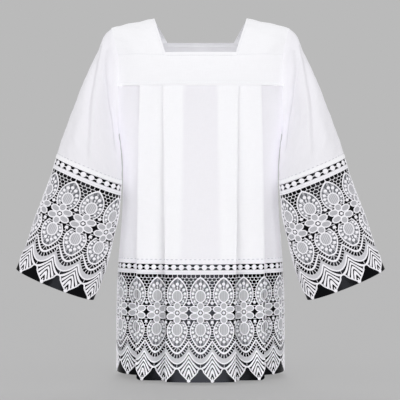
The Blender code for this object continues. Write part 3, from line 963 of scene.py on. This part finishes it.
# Below the ovals: two ladders and two scallops. A rung has its middle and half its length.
LADDER_SCALLOP = {
    "line": ((0, 222.5), (5, 221), (10, 217), (15, 210.8), (20, 203.8), (25, 197), (28, 193)),
    "width": (5.2, 3.0),
}
SOLID_SCALLOP = {
    "upper": ((0, 234.6), (5, 233.8), (10.6, 230.5), (16.8, 224.4), (21.6, 217.4), (25.9, 211),
              (28, 207.8)),
    "lower": ((0, 246.8), (5, 246.2), (10, 243.2), (14.3, 239.8), (17.5, 236.2), (21.9, 229.6),
              (24.1, 225.8), (28, 219.6)),
    "height": 0.7,
    "places": 25,          # it is read at so many places along it
    "rim": 3.7,
}
RUNGS = (
    (0, 214.5, 6.5), (6, 213, 6.5), (11, 208.9, 6), (15.2, 203.8, 5.5), (18.9, 198.4, 5.2),
    (21.8, 193.4, 5), (24.4, 188.4, 4.5),
    (0, 230.8, 4.5), (6.5, 229.4, 5), (12.3, 224.5, 5.2), (16.2, 218.8, 5.2), (19, 213.3, 5),
    (22.3, 207.8, 5), (25.4, 202.6, 4.5),
)
RUNG_WIDTH = 1.25
# What holds a column's top to the heading and its last scallop to the leaves.
COLUMN_TIES = ((((0, 35), (0, 43)), 1.8), (((0, 248), (0, 257.5)), 1.0))

# Between two columns, across from the line halfway: a net, a channel of bars, knots and a leaf.
NET_UPRIGHTS = (
    (35, 45, (5.2, 15.7)), (44, 51, (0, 10.0)), (51, 58.8, (5.3,)), (58.8, 65.3, (0,)),
)
NET_ROWS = ((44.0, 25.0, 0), (51.0, 17.5, 5.2), (58.8, 10.5, 0), (65.3, 7.5, 5.2), (71, 6, 0))
NET_MESH = 5.2             # from a peak of its zigzag rows to the next dip
NET_ZIGZAG = 1.3
NET_WIDTH = 1.1
NET_HEIGHT = 0.55
CHANNEL_BARS = (78.3, 83.3, 89.0, 95.0, 111.0, 117.3, 135.6, 142.3, 151.6, 158.3, 164.8, 170.5,
                176.3, 182.5, 188.6)
CHANNEL_BAR = {"reach": 4.2, "width": 1.35}
CUSP_KNOTS = ((0, 103.3, 3.9), (0, 148.5, 3.9))
KNOT_HOLDS = (((0, 95), (0, 102)), ((2.5, 102.6), (10.5, 101.2)), ((0, 151.6), (0, 158.3)),
              ((0, 198.5), (0, 209.5)))
KNOT_HOLD_WIDTH = 1.4

# The leaf's ribs, each between its upper and its lower edge, and the cord along its border.
LEAF_RIBS = (
    (((0, 225.5), (3, 230.2), (6.4, 236.2), (9.6, 240.9), (14, 245.9), (18.4, 250.6),
      (22.8, 254.1), (27.65, 256.6)),
     ((0, 235.6), (3, 239.8), (5.6, 244), (8.6, 248.3), (11.8, 252.8), (14, 255.6),
      (18, 259.6), (22.6, 261.2), (27.65, 261.2))),
    (((0, 236), (3, 240.4), (5.6, 244.6), (8.6, 249), (11.8, 253.5), (14, 256.5), (19, 263.4)),
     ((0, 246), (2.6, 248.9), (5.4, 253), (8, 257.8), (10.6, 262.8), (15.6, 271.4))),
    (((0, 246.6), (2.6, 249.6), (5.4, 253.8), (8, 258.8), (10.2, 263), (14.6, 272.2)),
     ((0, 256.6), (2.4, 259.6), (4.4, 264.4), (6.2, 270.4), (9, 279))),
    (((0, 257.4), (2.4, 260.6), (4.4, 265.6), (6, 271.2), (8.2, 279.8)),
     ((0, 272.6), (1.4, 275), (2.4, 278.4), (4.6, 283.6))),
)
LEAF_RIB_HEIGHT = 0.9
LEAF_RIB_PLACES = 11       # each rib is read at so many places along it
LEAF_GAP = 0.15            # what each edge gives up, as a share of its rib's width
LEAF_EDGE = ((25.6, 258.8), (21.8, 262.4), (20.2, 267), (16, 272.4), (11.2, 277.4), (6.6, 282),
             (3.4, 285.4))
LEAF_EDGE_WIDTH = 3.0
LEAF_STEM = ((0, 279.4), (0, 286))
LEAF_STEM_WIDTH = 2.6
LEAF_KNOB = {"middle": (0, 287.9), "radius": 4.2, "height": 1.5}

OUTLINE_HEIGHT = 1.3
KNOT_HEIGHT = 1.4
BAR_HEIGHT = 0.6
FILL_THREAD = {"pitch": 3.4, "width": 2.0, "height": 0.5, "open": 0.38}
FILL_GROUND = {"height": 0.25, "open": 0.62}   # low stitches under the threads
RING_GROUND = {"height": 0.2, "open": 1.0}


class Chart:
    """Embroidery drawn flat: points as across, down, height and openness with painted shade, and
    their faces.
    """

    def __init__(self):
        self.points, self.faces, self.count = [], [], 0

    def add(self, points, faces, open_and_shade_share=None):
        points = np.asarray(points, dtype=float)
        if open_and_shade_share is not None:
            points = np.column_stack([points, np.full(len(points), open_and_shade_share)])
        self.points.append(points)
        self.faces += [[i + self.count for i in face] for face in faces]
        self.count += len(points)

    def strip(self, upper, lower, height, worked, closed=False, open_and_shade_share=CLOSE):
        """Embroidery between two edges, with its cross-section drawn from one to the other."""
        shares, heights = np.array(worked).T
        upper, lower = np.asarray(upper, dtype=float), np.asarray(lower, dtype=float)
        flat = mix(upper[:, None], lower[:, None], shares[None, :, None])
        tall = np.broadcast_to(height * heights, flat.shape[:2])
        across, count = len(shares), len(upper)
        faces = []
        for i in range(count if closed else count - 1):
            here, there = i * across, (i + 1) % count * across
            faces += [[here + j, here + j + 1, there + j + 1, there + j]
                      for j in range(across - 1)]
            faces.append([here, there, there + across - 1, here + across - 1])
        if not closed:
            faces.append(list(range(across))[::-1])
            faces.append(list(range((count - 1) * across, count * across)))
        points = np.concatenate([flat, tall[..., None]], axis=-1).reshape(-1, 3)
        self.add(points, faces, open_and_shade_share)

    def cord(self, line, width, height, worked=ROUND, closed=False, open_and_shade_share=CLOSE):
        """A cord along a line. Its width is one number, or one for each point."""
        line = np.asarray(line, dtype=float)
        if closed:
            way = np.roll(line, -1, axis=0) - np.roll(line, 1, axis=0)
        else:
            way = np.gradient(line, axis=0)
        way /= np.linalg.norm(way, axis=1, keepdims=True)
        aside = np.stack([-way[:, 1], way[:, 0]], axis=1) * np.reshape(width, (-1, 1)) / 2
        self.strip(line - aside, line + aside, height, worked, closed, open_and_shade_share)

    def ring(self, middle, half, width, height, tilt=0.0, steps=28):
        self.cord(ellipse(middle, half, tilt, steps), width, height, closed=True)

    def dome(self, middle, radius, height, steps=10):
        """A knot, or a disc if it is low."""
        circle = ellipse((0.0, 0.0), (1.0, 1.0), 0.0, steps)
        points = [(*(middle + place * radius * share), height * high)
                  for share, high in DOME for place in circle]
        points.append((*middle, height))
        top, last = len(points) - 1, (len(DOME) - 1) * steps
        faces = [list(range(steps))[::-1]]
        for here in range(0, last, steps):
            faces += walls(here, steps)
        faces += [[last + i, last + (i + 1) % steps, top] for i in range(steps)]
        self.add(points, faces, CLOSE)

    def plate(self, middle, half, tilt, height, open_and_shade_share, steps=24):
        """A low flat filling within an ellipse."""
        rim = ellipse(middle, half, tilt, steps)
        points = [(*place, high) for high in (0.0, height) for place in rim]
        faces = [list(range(steps))[::-1], list(range(steps, 2 * steps))]
        self.add(points, faces + walls(0, steps), open_and_shade_share)

    def threads(self, middle, half, tilt=0.0):
        """A filling of parallel threads within an ellipse, along its first half size."""
        self.plate(middle, half, tilt, FILL_GROUND["height"], FILL_GROUND["open"])
        count = int(2 * half[1] / FILL_THREAD["pitch"])
        tilt = math.radians(tilt)
        along = np.array([math.cos(tilt), math.sin(tilt)])
        aside = np.array([-along[1], along[0]])
        for i in range(count):
            out = (i + 0.5) / count * 2 - 1
            reach = half[0] * math.sqrt(1 - out * out)
            start = middle + aside * out * half[1]
            self.cord([start - along * reach, start + along * reach], FILL_THREAD["width"],
                      FILL_THREAD["height"], THREAD, open_and_shade_share=FILL_THREAD["open"])

    def mirrored(self, other):
        """Add another chart as it is and turned over."""
        self.add(np.concatenate(other.points), other.faces)
        self.add(*other.turned_over())

    def turned_over(self):
        """The chart's points and faces with its left and right changed over."""
        points = np.concatenate(self.points) * np.array([-1.0, 1.0, 1.0, 1.0])
        return points, [face[::-1] for face in self.faces]

    def cut_at(self, across):
        """What lies left of a line down the chart, closed where it was cut."""
        flat = bmesh.new()
        kept = flat.verts.layers.float.new("open")
        corners = []
        for *place, open_and_shade_share in np.concatenate(self.points):
            corners.append(flat.verts.new(place))
            corners[-1][kept] = open_and_shade_share
        for face in self.faces:
            flat.faces.new([corners[i] for i in face])
        everything = flat.verts[:] + flat.edges[:] + flat.faces[:]
        bmesh.ops.bisect_plane(flat, geom=everything, plane_co=(across, 0, 0),
                               plane_no=(1, 0, 0), clear_outer=True)
        rims = [edge for edge in flat.edges if edge.is_boundary]
        bmesh.ops.edgeloop_fill(flat, edges=rims)
        flat.verts.index_update()
        rest = Chart()
        rest.add([(*v.co, v[kept]) for v in flat.verts],
                 [[v.index for v in face.verts] for face in flat.faces])
        flat.free()
        return rest


def walls(here, steps):
    """The faces from one ring of so many points up to the next."""
    return [[here + i, here + (i + 1) % steps, here + steps + (i + 1) % steps, here + steps + i]
            for i in range(steps)]


def ellipse(middle, half, tilt, steps):
    angles = -np.linspace(0, 2 * math.pi, steps, endpoint=False)
    tilt = math.radians(tilt)
    along, aside = half[0] * np.cos(angles), half[1] * np.sin(angles)
    return np.stack([middle[0] + along * math.cos(tilt) - aside * math.sin(tilt),
                     middle[1] + along * math.sin(tilt) + aside * math.cos(tilt)], axis=1)


def smooth(line, mirror=False):
    """A smooth line through the points, and through their mirror images if it says so."""
    line = np.asarray(line, dtype=float)
    if mirror:
        other = line * np.array([-1.0, 1.0])
        line = np.concatenate([other[::-1], line[1:]] if line[0, 0] == 0 else
                              [line, other[::-1][1:]])
    spans = np.linalg.norm(np.diff(line, axis=0), axis=1)
    return smooth_through(line, [max(1, round(float(span) / SMOOTH_STEP)) for span in spans])


def even_edges(upper, lower, count, mirror=False):
    """Two smooth edges read at the same number of places."""
    places = np.linspace(0, 1, count)
    made = []
    for edge in (smooth(upper, mirror), smooth(lower, mirror)):
        way = way_along(edge[None], 1)[0]
        made.append(read_along(edge, way / way[-1], places))
    return made


def heading_chart(rows):
    """The straight rows above the ovals, and the discs between two of them."""
    chart = Chart()
    cells = np.linspace(-REPEAT / 2, REPEAT / 2, HEADING_STEPS + 1)
    for down, width, height, worked, open_and_shade_share in rows:
        line = np.stack([cells, np.full_like(cells, down)], axis=1)
        chart.cord(line, width, height, worked, open_and_shade_share=open_and_shade_share)
    disc = HEADING_DISCS
    for across in (-disc["across"][0], disc["across"][0], disc["across"][1]):
        chart.dome(np.array([across, disc["down"]]), disc["radius"], disc["height"], steps=16)
    return chart


def column_chart():
    """One column: two ovals, a flower, ladders and scallops."""
    chart, right = Chart(), Chart()
    for line, width in COLUMN_TIES:
        chart.cord(line, width, BAR_HEIGHT)
    for oval in OVALS:
        middle, half = np.array(oval["middle"], dtype=float), oval["half"]
        outline = smooth(oval["outline"], mirror=True)
        chart.cord(outline, np.interp(outline[:, 1], *oval["widths"]), OUTLINE_HEIGHT)
        rays = outline - middle
        inner = middle + rays / np.hypot(rays[:, 0] / half[0], rays[:, 1] / half[1])[:, None]
        chart.strip(outline, inner, RING_GROUND["height"], FLAT, open_and_shade_share=RING_GROUND["open"])
        chart.ring(middle, half, INNER_OVAL_WIDTH, OUTLINE_HEIGHT)
        chart.threads(middle, (half[1], half[0]), 90.0)
        for across, down, radius in oval["knots"]:
            (right if across else chart).dome(np.array([across, down]), radius, KNOT_HEIGHT)
        # Fine threads from the inner oval out to the outline.
        knots = np.array([(hand * k[0], *k[1:]) for k in oval["knots"] for hand in (-1, 1)])
        way = way_along(outline[None], 1)[0]
        places = np.arange(RING_PITCH, way[-1] - RING_PITCH / 2, RING_PITCH)
        for place in places:
            end = read_along(outline, way, place)
            ray = end - middle
            start = middle + ray / math.hypot(ray[0] / half[0], ray[1] / half[1])
            off = np.abs(np.cross(knots[:, :2] - middle, ray / np.linalg.norm(ray)))
            ahead = (knots[:, :2] - middle) @ ray > 0
            close = (off < knots[:, 2] + KNOT_CLEARANCE) & (off > KNOT_MIDDLE * knots[:, 2])
            if not (ahead & close).any():
                chart.cord([start, end], RING_THREAD_WIDTH, BAR_HEIGHT, THREAD,
                           open_and_shade_share=DENSE)
    heart = np.array([0.0, FLOWER["down"]])
    chart.dome(heart, FLOWER["knot"], KNOT_HEIGHT)
    chart.ring(heart, (FLOWER["ring"],) * 2, FLOWER["ring_width"], OUTLINE_HEIGHT, steps=20)
    for spoke in range(FLOWER["spokes"]):
        turn = math.radians((spoke + 0.5) * 360 / FLOWER["spokes"])
        way = np.array([math.cos(turn), math.sin(turn)])
        chart.cord([heart + reach * way for reach in FLOWER["spoke"]], FLOWER["spoke_width"],
                   BAR_HEIGHT, THREAD)
    for across, down, half_across, half_down, tilt in PETALS:
        part = right if across else chart
        middle = np.array([across, down])
        part.ring(middle, (half_across, half_down), PETAL_OUTLINE_WIDTH, OUTLINE_HEIGHT, tilt,
                  steps=20)
        part.threads(middle, (half_across, half_down), tilt)
    for line in PETAL_TIES:
        right.cord(line, PETAL_TIE_WIDTH, BAR_HEIGHT)
    line = smooth(LADDER_SCALLOP["line"], mirror=True)
    width = np.interp(np.abs(line[:, 0]), (0, REPEAT / 2), LADDER_SCALLOP["width"])
    chart.cord(line, width, OUTLINE_HEIGHT)
    solid = SOLID_SCALLOP
    upper, lower = even_edges(solid["upper"], solid["lower"], solid["places"], mirror=True)
    chart.strip(upper, lower, solid["height"], PADDED, open_and_shade_share=FILLING)
    chart.cord(lower, solid["rim"], OUTLINE_HEIGHT)
    for across, down, reach in RUNGS:
        middle = np.array([across, down], dtype=float)
        way = np.gradient(line, axis=0)[np.linalg.norm(line - middle, axis=1).argmin()]
        way = np.array([-way[1], way[0]]) * reach / np.linalg.norm(way)
        part = right if across else chart
        part.cord([middle - way, middle + way], RUNG_WIDTH, BAR_HEIGHT)
    chart.mirrored(right)
    return chart


def cusp_chart():
    """What lies between two columns: the net, the channel with its knots, and the leaf."""
    chart, right = Chart(), Chart()
    for top, bottom, places in NET_UPRIGHTS:
        for across in places:
            part = right if across else chart
            part.cord([(across, top), (across, bottom)], NET_WIDTH, NET_HEIGHT)
    for down, reach, peak in NET_ROWS:
        across = np.linspace(-reach, reach, 2 * round(2 * reach / NET_MESH) + 1)
        swing = NET_ZIGZAG * np.cos((across - peak) * math.pi / NET_MESH)
        chart.cord(np.stack([across, down + swing], axis=1), NET_WIDTH, NET_HEIGHT)
    reach = CHANNEL_BAR["reach"]
    for down in CHANNEL_BARS:
        chart.cord([(-reach, down), (reach, down)], CHANNEL_BAR["width"], BAR_HEIGHT)
    for line in KNOT_HOLDS:
        (right if line[0][0] else chart).cord(line, KNOT_HOLD_WIDTH, BAR_HEIGHT)
    for across, down, radius in CUSP_KNOTS:
        chart.dome(np.array([across, down]), radius, KNOT_HEIGHT)
    for upper, lower in LEAF_RIBS:
        upper, lower = even_edges(upper, lower, LEAF_RIB_PLACES)
        right.strip(mix(upper, lower, LEAF_GAP), mix(lower, upper, LEAF_GAP), LEAF_RIB_HEIGHT,
                    ROUND)
    right.cord(smooth(LEAF_EDGE), LEAF_EDGE_WIDTH, OUTLINE_HEIGHT)
    chart.cord(LEAF_STEM, LEAF_STEM_WIDTH, OUTLINE_HEIGHT)
    chart.dome(np.array(LEAF_KNOB["middle"]), LEAF_KNOB["radius"], LEAF_KNOB["height"])
    chart.mirrored(right)
    return chart


def even_columns(grid, breaks, count):
    """The grid read again at evenly spaced places on the lace, row by row."""
    top, hem, late = (np.array(row) for row in FOLDS_ON_LACE)
    places = np.linspace(-HALF_REPEATS, HALF_REPEATS, count)
    made = []
    for row, (points, way) in enumerate(zip(grid, way_along(grid, 1))):
        half = mix(top, hem, (row / (len(grid) - 1)) ** late)
        lace = np.interp(way, way[breaks], np.concatenate([-half[:0:-1], half]))
        made.append(read_along(points, lace, places))
    return np.array(made)


LAST_CELL = 1.0001         # keeps a place at the ground's very edge within its last cell


class Ground:
    """The surface that lace is laid on, read by repeats across and millimetres down."""

    def __init__(self, grid, first, last, start=LACE_TOP, closed=False):
        self.grid, self.normal = grid, outward(grid)
        if closed:
            ring = np.concatenate([grid[:, -1:], grid, grid[:, :1]], axis=1)
            self.normal = outward(ring)[:, 1:-1]
        self.first, self.last, self.closed = first, last, closed
        down = way_along(grid, 0).mean(axis=1)
        share = down / down[-1]
        self.levels = mix(start, LACE_BOTTOM, share) - 4 * LACE_EASE * share * (1 - share)

    def lay(self, repeats, down, height):
        """Points in space for places on the lace, with the height in millimetres."""
        rows, columns = self.grid.shape[:2]
        spans = columns if self.closed else columns - 1
        column = (repeats - self.first) / (self.last - self.first) * spans
        if self.closed:
            column = column % columns
        else:
            column = np.clip(column, 0, columns - LAST_CELL)
        row = np.clip(np.interp(down, self.levels, np.arange(rows)), 0, rows - LAST_CELL)
        left, top = column.astype(int), row.astype(int)
        right = (left + 1) % columns
        a, b = (column - left)[:, None], (row - top)[:, None]

        def read(values):
            return mix(mix(values[top, left], values[top, right], a),
                       mix(values[top + 1, left], values[top + 1, right], a), b)

        return read(self.grid) + read(self.normal) * (LACE_BASE + height / 1000)[:, None]

    def line(self, down, height):
        """A line across the whole ground, with the way it faces."""
        places = np.linspace(self.first, self.last, self.grid.shape[1])
        down, height = np.full_like(places, down), np.full_like(places, height)
        line = self.lay(places, down, height)
        facing = self.lay(places, down, height + 1.0) - line
        return line, facing / np.linalg.norm(facing, axis=1, keepdims=True)


def laid_lace(ground, cells, shift=None):
    """The charts laid on the ground, each at its own number of repeats across."""
    points, chart_places, faces, count = [], [], [], 0
    for chart, middle in cells:
        across, down, height, open_and_shade_share = np.concatenate(chart.points).T
        repeats = middle + across / REPEAT
        if shift is not None:
            repeats = repeats + shift(down)
        points.append(ground.lay(repeats, down, height))
        chart_places.append(np.stack([across, down, open_and_shade_share], axis=1))
        faces += [[i + count for i in face] for face in chart.faces]
        count += len(across)
    return np.concatenate(points), faces, np.concatenate(chart_places)


def cotton_lace(name):
    """Mercerised cotton thread, machine-embroidered.

    The eye sees bright raised cords with a slight gloss and an uneven, thready surface, and
    greyer fillings, where the stitches lie apart and the dark shows between them, and where
    painted shade greys the low stitches.
    """
    material, tree = new_material(name)
    place = add_node(tree, "Attribute", attribute_name="stitches").outputs["Vector"]
    open_and_shade_share = add_node(tree, "SeparateXYZ", {0: place}).outputs["Z"]
    flat = add_node(tree, "VectorMath", {0: place, 1: (1.0, 1.0, 0.0)}, operation="MULTIPLY")
    grain = add_node(tree, "TexNoise", {"Vector": flat, "Scale": 0.55, "Detail": 2.0})
    # The grey of the fillings: the dark behind showing through, and partly painted shade.
    tone = add_node(tree, "Mix", {0: open_and_shade_share, 6: (*linear("#FCFBFF"), 1),
                                  7: (*linear("#6E7075"), 1)}, data_type="RGBA").outputs[2]
    shade = add_node(tree, "MapRange", {0: grain, 1: 0.3, 2: 0.7, 3: 0.93, 4: 1.0})
    colour = add_node(tree, "VectorMath", {0: tone, 1: shade}, operation="MULTIPLY")
    bump = add_node(tree, "Bump", {"Height": grain, "Strength": 0.2, "Distance": 0.0005})
    shader = add_node(tree, "BsdfPrincipled", {
        "Base Color": colour, "Roughness": 0.6, "Specular IOR Level": 0.3, "Normal": bump})
    add_node(tree, "OutputMaterial", {"Surface": shader})
    return material


def lace_piece(name, laid, node):
    points, faces, chart_places = laid
    piece = new_piece(name, points, faces, LACE, node, {"stitches": chart_places})
    piece.data.set_sharp_from_angle(angle=math.radians(60))
    return piece


LACE = cotton_lace("guipure_lace")
HEADING = heading_chart((HEADING_PAD,) + HEADING_ROWS)
COLUMN, CUSP = column_chart(), cusp_chart()
# Grid columns at the folds: halfway round each bend, and where two strips meet without one.
STRIP_ENDS = np.cumsum((0,) + STRIP_STEPS)
HALF_BREAKS = (STRIP_ENDS[[0, 1, 3, 5, 6, 8, 10, 11]]
               + STRIP_ENDS[[0, 2, 4, 5, 7, 9, 10, 11]]) // 2
BREAKS = np.concatenate([HALF_BREAKS[-1] - HALF_BREAKS[::-1], HALF_BREAKS[-1] + HALF_BREAKS[1:]])
whole_columns = math.floor(HALF_REPEATS)
hem_cells = [(chart, middle) for middle in range(-whole_columns, whole_columns + 1)
             for chart in (HEADING, COLUMN)]
hem_cells += [(CUSP, middle - 0.5) for middle in range(1 - whole_columns, whole_columns + 1)]
# What the side seams cut: the next cusp, and the column beyond it.
for chart, middle in ((CUSP, whole_columns + 0.5), (COLUMN, whole_columns + 1),
                      (HEADING, whole_columns + 1)):
    end = chart.cut_at((HALF_REPEATS - middle) * REPEAT)
    other_end = Chart()
    other_end.add(*end.turned_over())
    hem_cells += [(end, middle), (other_end, -middle)]
LACE_HEIGHTS = np.linspace(LACE_SEAM_Z, HEM_Z, 49)  # of the ground's rows
HEM_STITCHED = 0.9         # how far down the chart the panels' seam is stitched
for name, side in SIDES.items():
    grid, _ = pleated_grid(LACE_HEIGHTS, side)
    even = even_columns(grid, BREAKS, round(2 * HALF_REPEATS * SAMPLES_PER_REPEAT) + 1)
    ground = Ground(even, -HALF_REPEATS, HALF_REPEATS)
    piece = lace_piece(f"hem_guipure_{name}", laid_lace(ground, hem_cells), f"hem_lace_{name}")
    seam = ground.line(HEM_STITCHED, HEADING_PAD[2])
    sewn_piece(f"hem_stitching_{name}", [seam], LONG_STITCH, THREAD_DEEP_PAINTED_SHADE)


# ---- sleeve lace --------------------------------------------------------------------------
# The same lace, eight repeats of it closed to a tube round each sleeve. The raised band at the
# end of the sleeve's cotton stands in for its padded first row, and its other rows follow there.
SLEEVE_REPEATS = 8
SLEEVE_LACE_START = 10.0   # where on the chart the cotton ends
CUFF_PHASE = 0.05          # the first column's place round from the sleeve's outer end
TOP_PHASE = 0.88           # and its place at the top, as the tube twists down to the cuff
TWIST_POWER = 1.7
CUFF_COLUMNS = np.arange(SLEEVE_REPEATS * SAMPLES_PER_REPEAT)


def even_rings(rings, count):
    """Each ring read again at even distances round it."""
    rings = np.concatenate([rings, rings[:, :1]], axis=1)
    shares = np.arange(count) / count
    return np.array([read_along(ring, way, shares * way[-1])
                     for ring, way in zip(rings, way_along(rings, 1))])


SLEEVE_HEADING = heading_chart(HEADING_ROWS)
cuff_rings = even_rings(sleeve_cloth[sum(SLEEVE_STEPS):], len(CUFF_COLUMNS))
for hand_name, hand in HANDS.items():
    grid = cuff_rings[:, -CUFF_COLUMNS] if hand > 0 else cuff_rings * MIRROR
    ground = Ground(grid, 0, SLEEVE_REPEATS, SLEEVE_LACE_START, closed=True)
    cells = [(chart, -hand * k) for k in range(SLEEVE_REPEATS)
             for chart in (SLEEVE_HEADING, COLUMN)]
    cells += [(CUSP, -hand * k + 0.5) for k in range(SLEEVE_REPEATS)]

    def twist(down, hand=hand):
        left = np.maximum(1 - down / LACE_BOTTOM, 0.0)
        return -hand * mix(CUFF_PHASE, TOP_PHASE, left ** TWIST_POWER)

    piece = lace_piece(f"sleeve_guipure_{hand_name}", laid_lace(ground, cells, twist),
                       f"sleeve_lace_{hand_name}")


# ---- linings ------------------------------------------------------------------------------
# Plain strips of black polyester satin behind all the lace. They are cut as the lace is, sewn in
# with it, and pleated and hung with it.
LINING_INSIDE = 0.0016     # how far behind the lace they hang
SATIN_THICKNESS = 0.0004
# The satin's painted reflection: grey across its flat middle, fading to black where the folds
# begin.
PAINTED_SHEEN_MIDDLE = (0.056, 0.078)  # half the width of the flat middle, and where the folds begin


def black_satin(name):
    """Black polyester satin, calendered.

    The eye sees a deep black in the folds and a faint ripple every 2 cm. A soft grey sheen across
    its flat middle is a painted reflection, mixed into its colour.
    """
    material, tree = new_material(name)
    cut = add_node(tree, "Attribute", attribute_name="cut").outputs["Vector"]
    ripple = add_node(tree, "TexNoise", {"Vector": cut, "Scale": 45.0, "Detail": 1.0})
    bump = add_node(tree, "Bump", {"Height": ripple, "Strength": 0.12, "Distance": 0.004})
    # Painted reflection: the mask mixes a grey sheen into the colour where the satin hangs flat.
    layers = add_node(tree, "Attribute", attribute_name="layers").outputs["Fac"]
    tone = add_node(tree, "Mix", {0: layers, 6: (*linear("#35363B"), 1.0),
                                  7: (*linear("#050506"), 1.0)}, data_type="RGBA").outputs[2]
    shader = add_node(tree, "BsdfPrincipled", {
        "Base Color": tone, "Roughness": 0.22, "Specular IOR Level": 0.13,
        "Specular Tint": (*linear("#E8ECFA"), 1.0), "Normal": bump})
    add_node(tree, "OutputMaterial", {"Surface": shader})
    return material


SATIN = black_satin("black_satin")
for name, side in SIDES.items():
    grid, _ = pleated_grid(LACE_HEIGHTS, side, LINING_INSIDE)
    # Its painted sheen is grey in the middle and turns black where the folds begin, across x.
    piece = cloth_piece(f"hem_satin_{name}", grid, SATIN, f"hem_lining_{name}",
                        SATIN_THICKNESS, layers=smooth_step(*PAINTED_SHEEN_MIDDLE, np.abs(grid[..., 0])))
satin_tube = sleeve_grid(LINING_INSIDE)[sum(SLEEVE_STEPS):]
for hand_name, hand in HANDS.items():
    piece = cloth_piece(f"sleeve_satin_{hand_name}", turned_for(hand, satin_tube), SATIN,
                        f"sleeve_lining_{hand_name}", SATIN_THICKNESS,
                        closed=True)


# ---- shade --------------------------------------------------------------------------------
# The lights far out at the sides cast no shadows, and yet the pleats' folds shade each other. So
# the folded cloth has its own pair of them, which nothing but it can shade, and the rest has the
# pair above. The two at the very edges don't reach the folded cloth.
FOLDS_LIGHT = 0.85         # the strength of its own pair
folds, all_but_folds = (bpy.data.collections.new(name) for name in ("folds", "all_but_folds"))
for group in (folds, all_but_folds):
    for name in ("pleated_panel", "hem_guipure", "hem_satin"):
        for side_name in SIDES:
            group.objects.link(bpy.data.objects[f"{name}_{side_name}"])
for linked in all_but_folds.collection_objects:
    linked.light_linking.link_state = "EXCLUDE"
for hand_name in HANDS:
    wide = bpy.data.objects[f"wide_{hand_name}"]
    for_folds = wide.copy()
    for_folds.data = wide.data.copy()
    for_folds.data.use_shadow = True
    for_folds.data.energy = FOLDS_LIGHT
    for_folds.light_linking.receiver_collection = folds
    for_folds.light_linking.blocker_collection = folds
    bpy.context.scene.collection.objects.link(for_folds)
    for light in (wide, bpy.data.objects[f"edge_{hand_name}"]):
        light.light_linking.receiver_collection = all_but_folds
